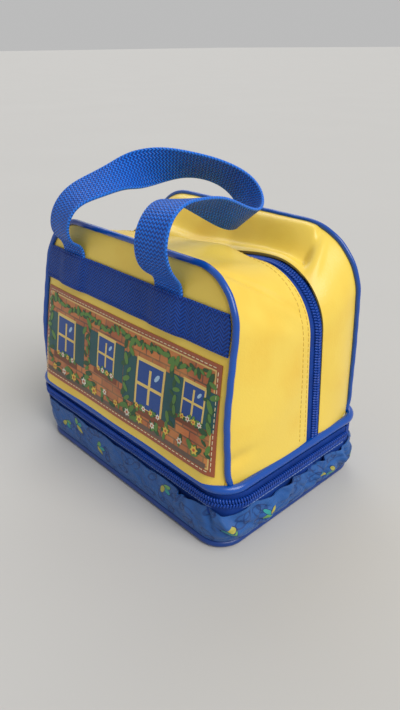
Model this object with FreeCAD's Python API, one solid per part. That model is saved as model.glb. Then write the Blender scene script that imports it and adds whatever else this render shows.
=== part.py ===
import FreeCAD, Part
import math
import os

# A soft lunch bag with a padded upper compartment and a low fabric compartment under it.
# Millimetres. The origin is the middle of the underside, +X runs along the front, +Y to the back, +Z up.

Vector = FreeCAD.Vector

# Waist zip, the widest level of the bag
WAIST_LENGTH = 224.0
WAIST_DEPTH = 144.0
WAIST_RADIUS = 23.0
WAIST_Z = 37.0
COIL_ROW = 3.05
COIL_HEIGHT = 2.6
COIL_GAP = 0.15
TAPE_THICK = 0.7
WAIST_TAPE_INSET = 2.7
WAIST_TAPE_BOTTOM = 25.0
WAIST_TAPE_TOP = 43.1
WAIST_ZIP_END_Y = 50.0
WAIST_LOWER_END_LEFT = 35.5
WAIST_UPPER_END_LEFT = 25.0

# Lower compartment
BASE_LENGTH = 206.0
BASE_SHIFT = Vector(4.0, 0, 0)
BASE_DEPTH = 145.0
BASE_RADIUS = 19.0
BASE_PIPING_R = 2.4
BASE_PIPING_Z = 2.6
BASE_SHEET = 2.0
BOARD_INSET = 0.5
SHEET_GAP = 0.2
WALL_THICK = 1.2
WALL_BOTTOM = 5.2
WALL_BELLY_Z = 19.0
WALL_BELLY_LENGTH = 212.0
WALL_BELLY_SHIFT = Vector(5.0, 0, 0)
WALL_SHOULDER_Z = 24.6
WALL_TOP = 30.0
WALL_FOOT_INSET = 2.0
WALL_BELLY_INSET = 1.0
WALL_TOP_INSET = 0.8
HINGE_STRIP_TOP = 41.8
HINGE_STRIP_THICK = 1.0
HINGE_STRIP_GAP = 0.5
HINGE_STRIP_START = 1.2

# Floor between the compartments and the thick piping round it
WAIST_PIPING_R = 2.9
WAIST_PIPING_Z = 46.1
WAIST_PIPING_LENGTH = 214.0
WAIST_PIPING_DEPTH = 138.6
WAIST_PIPING_CORNER = 17.0
UNDERSIDE_Z = (42.4, 43.1)
BOARD_Z = (43.6, 46.0)
LINER_Z = (46.2, 47.0)

# Upper compartment: bottom edge of the yellow panels, and the layers of a panel
SEAM_Z = 49.6
PANEL_SKIN = 1.2
FOAM = 3.0
LINING = 0.6
LAYER_GAP = 0.1
LAYER_LIFT = 1.2
PANEL_INSET = 1.6
PIPING_R = 2.0
PIPING_OUT = 0.55
FRONT = dict(
    facing=-1, y=-71.0, lean=10.7,
    arch=dict(half_bottom=102.5, corner_x=62.0, corner_v=92.0, radius=36.0),
    foam_inset=2.8, lining_inset=4.6, gusset_start=1.5, gusset_lining_start=5.6,
    zip_edge=8.5, coil_start=37.0, roots=(-61.0, 42.0),
)
BACK = dict(
    facing=1, y=67.0, lean=5.2,
    arch=dict(half_bottom=100.5, corner_x=59.5, corner_v=90.0, radius=42.0),
    foam_inset=4.6, lining_inset=5.4, gusset_start=2.6, gusset_lining_start=7.4,
    zip_edge=4.8, coil_start=11.5, roots=(-52.0, 52.0),
)

# Gussets and the top zip that runs between them
GUSSET = 2.0
GUSSET_LINING_DEPTH = 2.2
GUSSET_LINING_END = 14.2
ZIP_Y = 17.0
ZIP_HOOP = dict(half_bottom=107.0, corner_x=61.0, corner_v=70.4, radius=42.5)
ZIP_SAG = 7.0
TOP_TAPE_WIDTH = 11.5
TOP_TAPE_FLAT = 4.2
TOP_TAPE_START = 6.0
TOP_TAPE_DEPTH = 2.6
TOP_COIL_DEPTH = -0.2
SIDE_STEPS = (0.0, 0.35, 0.7, 1.0)
CORNER_STEPS = (0.25, 0.5, 0.75, 1.0)
TOP_STEPS = (0.6, 0.25)

# Webbing band, strap tails and picture patch on the panels
BAND_V = (82.4, 107.0)
BAND_THICK = 2.4
BAND_INSET = 2.8
STRAP_WIDTH = 25.0
STRAP_THICK = 1.8
TAIL_THICK = 1.0
TAIL_OUT = 0.9
PATCH_V = (5.0, 76.5)
PATCH_THICK = 0.5
PATCH_INSET = 6.5

# Front handle strap: its middle line with the direction across it, from the right root to the left one.
# The loop leans back over the top of the bag and twists once on its way to the left.
FRONT_STRAP = (
    ((42, -53, 157), (1, 0, 0)),
    ((42, -54.5, 161), (1, 0, 0)),
    ((44, -60, 167), (1, 0.1, 0)),
    ((46, -67, 176), (1, 0.15, 0)),
    ((47, -69, 189), (1, 0.1, 0)),
    ((46, -63, 201), (1, 0.1, 0.1)),
    ((43, -50, 207), (1, 0.15, 0.1)),
    ((41, -36, 206), (1, 0.15, 0.2)),
    ((41, -16, 199), (0.85, 0.2, 0.5)),
    ((41, 6, 188), (0.75, 0.25, 0.6)),
    ((37, 21, 185), (0.7, 0.25, 0.65)),
    ((28, 33, 190), (0.6, 0.15, 0.8)),
    ((15, 37, 199), (0.6, -0.1, 0.8)),
    ((1, 32, 207), (0.55, -0.35, 0.75)),
    ((-18, 14, 213), (0.5, -0.3, 0.8)),
    ((-31, -10, 212), (-0.2, -0.05, 1)),
    ((-36, -27, 209), (-0.8, 0.1, 0.6)),
    ((-41, -44, 204), (-0.9, 0.2, 0.4)),
    ((-47, -59, 197), (-0.9, 0.25, 0.3)),
    ((-53, -66, 183), (-1, 0.15, 0.3)),
    ((-58, -62, 169), (-1, 0, 0.15)),
    ((-61, -54.5, 161), (-1, 0, 0)),
    ((-61, -53, 157), (-1, 0, 0)),
)

# Back handle strap: it hangs from its roots and turns edge-on to the panel round the bottom of its loop
BACK_STRAP_OUT = 4.6
BACK_STRAP_SPREAD = 3.0
BACK_STRAP_TOP_V = 109.0
BACK_STRAP_TURN_V = 58.0
BACK_STRAP_BOTTOM_V = 8.0
BACK_STRAP_BOTTOM_OUT = 17.0
BACK_STRAP_STEPS = 6

# Zip sliders and pulls
SLIDER_LENGTH = 12.0
SLIDER_PLATE = 1.2
SLIDER_HALF = 4.4
SLIDER_CLEAR = 0.5
SLIDER_LIP = 0.6
SLIDER_LIP_GAP = 0.35
LUG_WIDTH = 1.0
LUG_LENGTH = 3.0
LUG_GAP = 0.3
BAR_R = 0.8
BAR_HEIGHT = 2.2
EYE_R = 0.87
EYE_OUTER_R = 1.7
PULL_WIDTH = 3.4
PULL_TAB_WIDTH = 7.0
PULL_THICK = 1.4
PULL_LENGTH = 25.0
PULL_NECK = 4.0
PULL_HOLE_R = 1.6
TOP_PULL_TILT = 11.0
TOP_SLIDER_START = 12.5
WAIST_SLIDER_Y = 26.0


def rounded_wire(length, depth, radius, z):
    """Closed rounded rectangle round the Z axis, its sides as lines and its corners as arcs."""
    x = length / 2
    y = depth / 2
    diagonal = radius * (1 - math.sqrt(0.5))
    edges = []
    for sx, sy in ((1, 1), (-1, 1), (-1, -1), (1, -1)):
        on_side = Vector(sx * x, sy * (y - radius), z)
        on_end = Vector(sx * (x - radius), sy * y, z)
        middle = Vector(sx * (x - diagonal), sy * (y - diagonal), z)
        ends = (on_side, on_end) if sx * sy > 0 else (on_end, on_side)
        if edges:
            edges.append(Part.LineSegment(edges[-1].Vertexes[-1].Point, ends[0]).toShape())
        edges.append(Part.Arc(ends[0], middle, ends[1]).toShape())
    edges.append(Part.LineSegment(edges[-1].Vertexes[-1].Point, edges[0].Vertexes[0].Point).toShape())
    return Part.Wire(edges)


def slab(length, depth, radius, z_range):
    """Flat plate with a rounded outline."""
    face = Part.Face(rounded_wire(length, depth, radius, z_range[0]))
    return face.extrude(Vector(0, 0, z_range[1] - z_range[0]))


def ring(inset, thickness, z_range):
    """Upright band that follows the waist outline, set in from it."""
    sizes = []
    for step in (inset, inset + thickness):
        sizes.append((WAIST_LENGTH - 2 * step, WAIST_DEPTH - 2 * step, WAIST_RADIUS - step))
    return slab(*sizes[0], z_range).cut(slab(*sizes[1], z_range))


def tube(wire, radius):
    """Round cord along a wire of lines and arcs."""
    first = wire.OrderedEdges[0]
    start = first.valueAt(first.FirstParameter)
    heading = first.tangentAt(first.FirstParameter)
    section = Part.Wire(Part.Circle(start, heading, radius).toShape())
    return wire.makePipeShell([section], True, False)


def box(low, high):
    """Box between two corners."""
    size = Vector(*high) - Vector(*low)
    return Part.makeBox(size.x, size.y, size.z, Vector(*low))


def base_panel():
    inner = BASE_PIPING_R * 2 + LAYER_GAP
    sheet = slab(BASE_LENGTH - 2 * inner, BASE_DEPTH - 2 * inner, BASE_RADIUS - inner, (0, BASE_SHEET))
    return sheet.translated(BASE_SHIFT)


def base_board():
    inner = BASE_PIPING_R * 2 + LAYER_GAP + BOARD_INSET
    z_range = (BASE_SHEET + SHEET_GAP, 2 * BASE_SHEET + SHEET_GAP)
    sheet = slab(BASE_LENGTH - 2 * inner, BASE_DEPTH - 2 * inner, BASE_RADIUS - inner, z_range)
    return sheet.translated(BASE_SHIFT)


def base_piping():
    inset = BASE_PIPING_R
    path = rounded_wire(BASE_LENGTH - 2 * inset, BASE_DEPTH - 2 * inset, BASE_RADIUS - inset, BASE_PIPING_Z)
    return tube(path, BASE_PIPING_R).translated(BASE_SHIFT)


def base_wall():
    """Fabric wall from the base piping out to the waist zip, tucked in under the zip on the left."""
    waist = (WAIST_DEPTH, WAIST_RADIUS)
    still = Vector(0, 0, 0)
    levels = (
        (WALL_BOTTOM, BASE_LENGTH, BASE_DEPTH, BASE_RADIUS, WALL_FOOT_INSET, BASE_SHIFT),
        (WALL_BELLY_Z, WALL_BELLY_LENGTH, *waist, WALL_BELLY_INSET, WALL_BELLY_SHIFT),
        (WALL_SHOULDER_Z, WAIST_LENGTH, *waist, WALL_BELLY_INSET, still),
        (WALL_TOP, WAIST_LENGTH, *waist, WALL_TOP_INSET, still),
    )
    shells = []
    for thickness in (0, WALL_THICK):
        wires = []
        for z, length, depth, radius, inset, shift in levels:
            step = inset + thickness
            wire = rounded_wire(length - 2 * step, depth - 2 * step, radius - step, z)
            wires.append(wire.translated(shift))
        shells.append(Part.makeLoft(wires, True, True))
    return shells[0].cut(shells[1])


def open_at_back(band, left_end):
    """Leaves the front and the sides of a waist band, with a chosen end on the left side."""
    far = WAIST_LENGTH
    right_cut = box((0, WAIST_ZIP_END_Y, 0), (far, far, far))
    left_cut = box((-far, left_end, 0), (0, far, far))
    return band.cut(right_cut).cut(left_cut)


def waist_tape(z_range):
    return open_at_back(ring(WAIST_TAPE_INSET, TAPE_THICK, z_range), WAIST_ZIP_END_Y)


def waist_coil(z_low, left_end):
    return open_at_back(ring(0, COIL_HEIGHT, (z_low, z_low + COIL_ROW)), left_end)


def waist_hinge_strip():
    """Fabric across the back that joins the lower compartment to the upper one."""
    band = ring(WAIST_TAPE_INSET, HINGE_STRIP_THICK, (WAIST_TAPE_BOTTOM, HINGE_STRIP_TOP))
    far = WAIST_LENGTH
    return band.common(box((-far, WAIST_ZIP_END_Y + HINGE_STRIP_START, 0), (far, far, far)))


def waist_piping():
    path = rounded_wire(WAIST_PIPING_LENGTH, WAIST_PIPING_DEPTH, WAIST_PIPING_CORNER, WAIST_PIPING_Z)
    return tube(path, WAIST_PIPING_R)


def divider_underside():
    step = WAIST_TAPE_INSET + HINGE_STRIP_THICK + HINGE_STRIP_GAP
    return slab(WAIST_LENGTH - 2 * step, WAIST_DEPTH - 2 * step, WAIST_RADIUS - step, UNDERSIDE_Z)


def divider_sheet(z_range):
    """Layer of the floor that lies inside the thick piping."""
    step = WAIST_PIPING_R + LAYER_GAP
    length = WAIST_PIPING_LENGTH - 2 * step
    depth = WAIST_PIPING_DEPTH - 2 * step
    return slab(length, depth, WAIST_PIPING_CORNER - step, z_range)


def touch_angle(half_bottom, corner_x, corner_v, radius):
    """Angle on the corner circle at which the straight side touches it."""
    across = half_bottom - corner_x
    return math.acos(radius / math.hypot(across, corner_v)) - math.atan2(corner_v, across)


def hoop_points(half_bottom, corner_x, corner_v, radius, sag, left_start=0.0):
    """Points of an arch from the bottom of its left side to the bottom of its right side."""
    angle = touch_angle(half_bottom, corner_x, corner_v, radius)
    touch = (corner_x + radius * math.cos(angle), corner_v + radius * math.sin(angle))
    half = []
    for step in SIDE_STEPS:
        half.append((half_bottom + step * (touch[0] - half_bottom), step * touch[1]))
    for step in CORNER_STEPS:
        turn = angle + step * (math.pi / 2 - angle)
        half.append((corner_x + radius * math.cos(turn), corner_v + radius * math.sin(turn)))
    for step in TOP_STEPS:
        dip = sag * math.cos(step * math.pi / 2) ** 2
        half.append((step * corner_x, corner_v + radius - dip))
    share = left_start / touch[1]
    first = (half_bottom + share * (touch[0] - half_bottom), left_start)
    left = [(-x, v) for x, v in [first] + half[1:]]
    return left + [(0, corner_v + radius - sag)] + half[::-1]


def panel_point(panel, x, v, out=0.0):
    """Place of a point that lies x, v on a panel's face and stands out from it."""
    lean = math.radians(panel["lean"])
    away = out * math.cos(lean) - v * math.sin(lean)
    return Vector(x, panel["y"] + panel["facing"] * away, SEAM_Z + v * math.cos(lean) + out * math.sin(lean))


def panel_placement(panel):
    """Frame of a panel: its X along the panel, its Y up the lean, its Z outwards."""
    turn = FreeCAD.Rotation(Vector(0, 0, 1), 90 + 90 * panel["facing"])
    tilt = FreeCAD.Rotation(Vector(1, 0, 0), 90 - panel["lean"])
    return FreeCAD.Placement(Vector(0, panel["y"], SEAM_Z), turn * tilt)


def arch_edges(panel, inset, out, lift=0.0):
    """Sides, round corners and top of a panel's outline, in the panel's frame."""
    arch = dict(panel["arch"])
    arch["half_bottom"] -= inset
    arch["radius"] -= inset
    angle = touch_angle(**arch)
    middle = (angle + math.pi / 2) / 2
    places = []
    for turn in (angle, middle, math.pi / 2):
        across = arch["corner_x"] + arch["radius"] * math.cos(turn)
        places.append((across, arch["corner_v"] + arch["radius"] * math.sin(turn)))
    touch = places[0]
    half = arch["half_bottom"] + (touch[0] - arch["half_bottom"]) * lift / touch[1]
    places.insert(0, (half, lift))
    right = [Vector(x, v, out) for x, v in places]
    left = [Vector(-x, v, out) for x, v in places]
    return [
        Part.LineSegment(right[0], right[1]).toShape(),
        Part.Arc(right[1], right[2], right[3]).toShape(),
        Part.LineSegment(right[3], left[3]).toShape(),
        Part.Arc(left[3], left[2], left[1]).toShape(),
        Part.LineSegment(left[1], left[0]).toShape(),
    ]


def arch_plate(panel, inset, low, high, lift=0.0):
    """Plate with the panel's outline between two distances out from its face, in the panel's frame."""
    edges = arch_edges(panel, inset, low, lift)
    edges.append(Part.LineSegment(edges[-1].Vertexes[-1].Point, edges[0].Vertexes[0].Point).toShape())
    return Part.Face(Part.Wire(edges)).extrude(Vector(0, 0, high - low))


def placed(panel, shape):
    """Carries a shape from a panel's frame to the bag."""
    shape.Placement = panel_placement(panel).multiply(shape.Placement)
    return shape


def panel_skin(panel):
    return placed(panel, arch_plate(panel, PANEL_INSET, -PANEL_SKIN, 0))


def panel_foam(panel):
    top = -PANEL_SKIN - LAYER_GAP
    return placed(panel, arch_plate(panel, panel["foam_inset"], top - FOAM, top, LAYER_LIFT))


def panel_lining(panel):
    top = -PANEL_SKIN - FOAM - 2 * LAYER_GAP
    return placed(panel, arch_plate(panel, panel["lining_inset"], top - LINING, top, LAYER_LIFT))


def panel_piping(panel):
    return placed(panel, tube(Part.Wire(arch_edges(panel, -PIPING_OUT, PIPING_OUT)), PIPING_R))


def tail_block(x, gap):
    """End of a strap under the band, or with a gap the pocket that it lies in, in a panel's frame."""
    half = STRAP_WIDTH / 2 + gap
    low = (x - half, BAND_V[0] + 2 - gap, LAYER_GAP)
    return box(low, (x + half, BAND_V[1] + TAIL_OUT, TAIL_THICK + LAYER_GAP + gap))


def strap_tail(panel, x):
    return placed(panel, tail_block(-panel["facing"] * x, 0))


def band(panel):
    """Webbing across the panel, with a pocket behind it for each strap tail."""
    far = WAIST_LENGTH
    plate = arch_plate(panel, BAND_INSET, LAYER_GAP, BAND_THICK)
    strip = plate.common(box((-far, BAND_V[0], 0), (far, BAND_V[1], far)))
    for x in panel["roots"]:
        strip = strip.cut(tail_block(-panel["facing"] * x, LAYER_GAP))
    return placed(panel, strip)


def picture_patch():
    far = WAIST_LENGTH
    plate = arch_plate(FRONT, PATCH_INSET, LAYER_GAP, LAYER_GAP + PATCH_THICK)
    return placed(FRONT, plate.common(box((-far, PATCH_V[0], 0), (far, PATCH_V[1], far))))


def hoop_pairs(panel, left_start=0.0):
    """Matching points on a panel's seam and on the zip line, with the directions into the bag at both."""
    seam = [panel_point(panel, x, v) for x, v in hoop_points(**panel["arch"], sag=0, left_start=left_start)]
    zip_line = hoop_points(**ZIP_HOOP, sag=ZIP_SAG, left_start=left_start)
    zip_points = [Vector(x, ZIP_Y, SEAM_Z + v) for x, v in zip_line]
    last = len(seam) - 1
    pairs = []
    for i in range(last + 1):
        before = max(i - 1, 0)
        after = min(i + 1, last)
        zip_along = zip_points[after] - zip_points[before]
        along = seam[after] - seam[before] + zip_along
        across = zip_points[i] - seam[i]
        inward = along.cross(across) * panel["facing"]
        zip_inward = zip_along.cross(Vector(0, -1, 0))
        pairs.append((seam[i], zip_points[i], across.normalize(), inward.normalize(), zip_inward.normalize()))
    return pairs


def arch_loft(sections):
    """Solid through the sections of an arch: straight sides, smooth corners and a smooth top, joined."""
    side = len(SIDE_STEPS) - 1
    corner = side + len(CORNER_STEPS)
    last = len(sections) - 1
    cuts = (0, side, corner, last - corner, last - side, last)
    whole = None
    for low, high in zip(cuts, cuts[1:]):
        wires = [Part.makePolygon(corners + corners[:1]) for corners in sections[low:high + 1]]
        piece = Part.makeLoft(wires, True, False)
        whole = piece if whole is None else whole.fuse(piece)
    return whole


def gusset_layer(panel, from_seam, from_zip, low, high):
    """Sheet from near a panel's seam to near the zip, between two depths."""
    sections = []
    for seam, zip_point, across, inward, zip_inward in hoop_pairs(panel):
        near = seam + across * from_seam
        far = zip_point - across * from_zip
        sections.append([near + inward * low, far + inward * low, far + inward * high, near + inward * high])
    return arch_loft(sections)


def gusset(panel):
    return gusset_layer(panel, panel["gusset_start"], panel["zip_edge"], 0, GUSSET)


def gusset_lining(panel):
    depth = GUSSET_LINING_DEPTH
    return gusset_layer(panel, panel["gusset_lining_start"], GUSSET_LINING_END, depth, depth + LINING)


def top_tape(panel):
    """Zip tape: flat beside the coil, then bent to lie under the edge of the gusset."""
    out = Vector(0, panel["facing"], 0)
    sections = []
    for seam, zip_point, across, inward, zip_inward in hoop_pairs(panel, TOP_TAPE_START):
        along = out.cross(zip_inward)
        slope = across - along * across.dot(along)
        slope.normalize()
        under = slope.cross(along)
        corners = []
        for depth in (TOP_TAPE_DEPTH, TOP_TAPE_DEPTH + TAPE_THICK):
            row = [zip_point + out * reach + zip_inward * depth for reach in (2 * COIL_GAP, TOP_TAPE_FLAT)]
            row.append(zip_point - slope * TOP_TAPE_WIDTH + under * depth)
            corners += row if depth == TOP_TAPE_DEPTH else row[::-1]
        sections.append(corners)
    return arch_loft(sections)


def top_coil(panel):
    """Row of zip coil on the outside of its tape, from its start on the left side to the right end."""
    out = Vector(0, panel["facing"], 0)
    base = TOP_TAPE_DEPTH - LAYER_GAP
    outline = ((COIL_ROW, TOP_COIL_DEPTH), (COIL_GAP, TOP_COIL_DEPTH), (COIL_GAP, base), (COIL_ROW, base))
    sections = []
    for seam, zip_point, across, inward, zip_inward in hoop_pairs(panel, TOP_TAPE_START):
        sections.append([zip_point + out * reach + zip_inward * depth for reach, depth in outline])
    far = WAIST_LENGTH
    below_start = box((-far, -far, 0), (0, far, SEAM_Z + panel["coil_start"]))
    return arch_loft(sections).cut(below_start)


def ribbon(stations):
    """Strap through points with a direction across it at each: four smooth edges with ruled faces between."""
    last = len(stations) - 1
    edges = [[], [], [], []]
    for i, (place, across) in enumerate(stations):
        along = stations[min(i + 1, last)][0] - stations[max(i - 1, 0)][0]
        along.normalize()
        side = across - along * across.dot(along)
        side.normalize()
        face = along.cross(side) * (STRAP_THICK / 2)
        side.multiply(STRAP_WIDTH / 2)
        corners = (place + side + face, place - side + face, place - side - face, place + side - face)
        for edge, corner in zip(edges, corners):
            edge.append(corner)
    curves = []
    for points in edges:
        curve = Part.BSplineCurve()
        curve.interpolate(points)
        curves.append(curve.toShape())
    faces = [Part.makeRuledSurface(curves[i], curves[(i + 1) % 4]) for i in range(4)]
    for end in (0, last):
        corners = [points[end] for points in edges]
        faces.append(Part.makeFilledFace(Part.makePolygon(corners + corners[:1]).Edges))
    shell = Part.makeShell(faces)
    shell.sewShape()
    solid = Part.Solid(shell)
    if solid.Volume < 0:
        solid.reverse()
    return solid


def front_handle():
    return ribbon([(Vector(*place), Vector(*across)) for place, across in FRONT_STRAP])


def back_handle():
    """Hanging loop: two straight legs and a half turn in which the strap goes from flat to edge-on."""
    reach = BACK["roots"][1]
    drop = BACK_STRAP_TURN_V - BACK_STRAP_BOTTOM_V
    start_out = BACK_STRAP_OUT + BACK_STRAP_SPREAD
    leg = []
    for step in (0, 0.5, 1):
        v = BACK_STRAP_TOP_V + step * (BACK_STRAP_TURN_V - BACK_STRAP_TOP_V)
        leg.append((panel_point(BACK, reach, v, BACK_STRAP_OUT + BACK_STRAP_SPREAD * step), Vector(1, 0, 0)))
    outward = panel_point(BACK, 0, 0, 1) - panel_point(BACK, 0, 0)
    turn = []
    for i in range(1, BACK_STRAP_STEPS + 1):
        share = i / BACK_STRAP_STEPS
        angle = share * math.pi / 2
        out = start_out + (BACK_STRAP_BOTTOM_OUT - start_out) * share
        place = panel_point(BACK, reach * math.cos(angle), BACK_STRAP_TURN_V - drop * math.sin(angle), out)
        radial = Vector(math.cos(angle), 0, -math.sin(angle))
        turn.append((place, radial * math.cos(angle) + outward * math.sin(angle)))
    half = leg + turn
    other = []
    for place, across in half[-2::-1]:
        other.append((Vector(-place.x, place.y, place.z), Vector(-across.x, across.y, across.z)))
    return ribbon(half + other)


def slider_crown(plate_top):
    """Two lugs and the bar between them that a pull hangs from, in the slider's frame."""
    bar_x = plate_top + BAR_HEIGHT
    bar_z = SLIDER_LENGTH / 2
    lug_y = PULL_WIDTH / 2 + LUG_GAP
    across = Vector(0, 1, 0)
    crown = Part.makeCylinder(BAR_R, 2 * lug_y, Vector(bar_x, -lug_y, bar_z), across)
    for low in (-lug_y - LUG_WIDTH, lug_y):
        lug = box((plate_top, low, bar_z - LUG_LENGTH / 2), (bar_x, low + LUG_WIDTH, bar_z + LUG_LENGTH / 2))
        cap = Part.makeCylinder(LUG_LENGTH / 2, LUG_WIDTH, Vector(bar_x, low, bar_z), across)
        crown = crown.fuse(lug).fuse(cap)
    return crown


def slider_body(row_top, row_bottom, crown_turn):
    """Saddle of a zip slider in its own frame: X outwards, Y across the zip, Z along it to the opening end.

    A plate lies over both rows of coil and a lip runs down beside each row.
    """
    half = SLIDER_HALF
    outer = row_top + SLIDER_CLEAR
    body = box((outer, -half, 0), (outer + SLIDER_PLATE, half, SLIDER_LENGTH))
    lip_start = COIL_GAP + COIL_ROW + SLIDER_LIP_GAP
    for low in (-lip_start - SLIDER_LIP, lip_start):
        foot = (row_bottom + TAPE_THICK + SLIDER_LIP_GAP, low, 0)
        body = body.fuse(box(foot, (outer, low + SLIDER_LIP, SLIDER_LENGTH)))
    crown = slider_crown(outer + SLIDER_PLATE)
    crown.rotate(Vector(0, 0, SLIDER_LENGTH / 2), Vector(1, 0, 0), crown_turn)
    return body.fuse(crown).removeSplitter()


def slider_pull(row_top):
    """Pull tab that hangs from the slider's bar, in the slider's frame, straight down its length."""
    bar_x = row_top + SLIDER_CLEAR + SLIDER_PLATE + BAR_HEIGHT
    bar_z = SLIDER_LENGTH / 2
    low = -PULL_WIDTH / 2
    axis = Vector(0, 1, 0)
    eye = Part.makeCylinder(EYE_OUTER_R, PULL_WIDTH, Vector(bar_x, low, bar_z), axis)
    half = PULL_TAB_WIDTH / 2
    neck = bar_z - PULL_NECK
    foot = bar_z - PULL_LENGTH
    thick = PULL_THICK / 2
    shank = box((bar_x - thick, low, neck), (bar_x + thick, -low, bar_z))
    tab = box((bar_x - thick, -half, foot + half), (bar_x + thick, half, neck))
    tip_centre = Vector(bar_x - thick, 0, foot + half)
    tip = Part.makeCylinder(half, PULL_THICK, tip_centre, Vector(1, 0, 0))
    hole = Part.makeCylinder(EYE_R, PULL_WIDTH, Vector(bar_x, low, bar_z), axis)
    finger_hole = Part.makeCylinder(PULL_HOLE_R, PULL_THICK, tip_centre, Vector(1, 0, 0))
    return eye.fuse(shank).fuse(tab).fuse(tip).cut(hole).cut(finger_hole).removeSplitter()


def top_slider_placement():
    """Frame on the left run of the top zip, its Z up the run and its X out of the bag."""
    low, high = (Vector(x, ZIP_Y, SEAM_Z + v) for x, v in hoop_points(**ZIP_HOOP, sag=ZIP_SAG)[:2])
    along = (high - low).normalize()
    out = along.cross(Vector(0, -1, 0)).normalize() * -1
    across = along.cross(out)
    return FreeCAD.Placement(low + along * TOP_SLIDER_START, FreeCAD.Rotation(out, across, along, "XZY"))


def waist_slider_placement():
    """Frame on the left run of the waist zip, its Z forwards, its X out of the bag, its Y down."""
    out = Vector(-1, 0, 0)
    along = Vector(0, -1, 0)
    across = along.cross(out)
    place = Vector(-WAIST_LENGTH / 2, WAIST_SLIDER_Y + SLIDER_LENGTH, WAIST_Z)
    return FreeCAD.Placement(place, FreeCAD.Rotation(out, across, along, "XZY"))


def export(name, shape):
    """Checks a solid and writes it."""
    solids = shape.Solids
    if len(solids) == 1:
        shape = solids[0]
    box_size = shape.BoundBox
    print(f"{name}: {len(solids)} solid, valid {shape.isValid()}, volume {shape.Volume:.0f}, "
          f"x {box_size.XMin:.1f} {box_size.XMax:.1f}, y {box_size.YMin:.1f} {box_size.YMax:.1f}, "
          f"z {box_size.ZMin:.1f} {box_size.ZMax:.1f}")
    shape.exportStep(f"parts/{name}.step")


def lower_parts():
    row = WAIST_Z - COIL_GAP
    return {
        "base_panel": base_panel(),
        "base_board": base_board(),
        "base_piping": base_piping(),
        "base_wall": base_wall(),
        "waist_tape_lower": waist_tape((WAIST_TAPE_BOTTOM, row)),
        "waist_coil_lower": waist_coil(row - COIL_ROW, WAIST_LOWER_END_LEFT),
        "waist_hinge_strip": waist_hinge_strip(),
    }


def waist_parts():
    row = WAIST_Z + COIL_GAP
    return {
        "waist_tape_upper": waist_tape((row, WAIST_TAPE_TOP)),
        "waist_coil_upper": waist_coil(row, WAIST_UPPER_END_LEFT),
        "waist_piping": waist_piping(),
        "divider_underside": divider_underside(),
        "divider_board": divider_sheet(BOARD_Z),
        "divider_liner": divider_sheet(LINER_Z),
    }


def half_parts(side, panel):
    """One half of the upper compartment: its panel, its gusset and its side of the top zip."""
    return {
        f"{side}_panel": panel_skin(panel),
        f"{side}_foam": panel_foam(panel),
        f"{side}_lining": panel_lining(panel),
        f"{side}_piping": panel_piping(panel),
        f"{side}_handle_tail_left": strap_tail(panel, panel["roots"][0]),
        f"{side}_handle_tail_right": strap_tail(panel, panel["roots"][1]),
        f"{side}_band": band(panel),
        f"{side}_gusset": gusset(panel),
        f"{side}_gusset_lining": gusset_lining(panel),
        f"top_tape_{side}": top_tape(panel),
        f"top_coil_{side}": top_coil(panel),
    }


def zip_hardware():
    """Sliders and pulls, parked at the closed ends of the two zips on the left side."""
    top_row = (-TOP_COIL_DEPTH, -TOP_TAPE_DEPTH - TAPE_THICK)
    waist_row = (0, -WAIST_TAPE_INSET - TAPE_THICK)
    top_frame = top_slider_placement()
    waist_frame = waist_slider_placement()
    shapes = {
        "top_slider": slider_body(*top_row, 0),
        "top_pull": slider_pull(top_row[0]),
        "waist_slider": slider_body(*waist_row, 90),
        "waist_pull": slider_pull(waist_row[0]),
    }
    bar = Vector(top_row[0] + SLIDER_CLEAR + SLIDER_PLATE + BAR_HEIGHT, 0, SLIDER_LENGTH / 2)
    shapes["top_pull"].rotate(bar, Vector(0, 1, 0), -TOP_PULL_TILT)
    bar = Vector(SLIDER_CLEAR + SLIDER_PLATE + BAR_HEIGHT, 0, SLIDER_LENGTH / 2)
    shapes["waist_pull"].rotate(bar, Vector(1, 0, 0), 90)
    for name, shape in shapes.items():
        frame = top_frame if name.startswith("top") else waist_frame
        shape.Placement = frame.multiply(shape.Placement)
    return shapes


def main():
    os.makedirs("parts", exist_ok=True)
    pieces = {}
    pieces.update(lower_parts())
    pieces.update(waist_parts())
    pieces.update(half_parts("front", FRONT))
    pieces["picture_patch"] = picture_patch()
    pieces.update(half_parts("back", BACK))
    pieces["front_handle"] = front_handle()
    pieces["back_handle"] = back_handle()
    pieces.update(zip_hardware())
    for name, shape in pieces.items():
        export(name, shape)


main()
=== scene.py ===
# %% [markdown]
# A soft lunch bag: a padded yellow vinyl compartment under a hoop zip, a low cloth compartment under a
# waist zip, and webbing handles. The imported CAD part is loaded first, because every piece is fitted to
# its solids and moves with its bodies. Sizes are written in millimetres; Blender works in metres.

# %% load the frame
import bpy
import math
import numpy as np
from mathutils import Matrix, Vector


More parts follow.
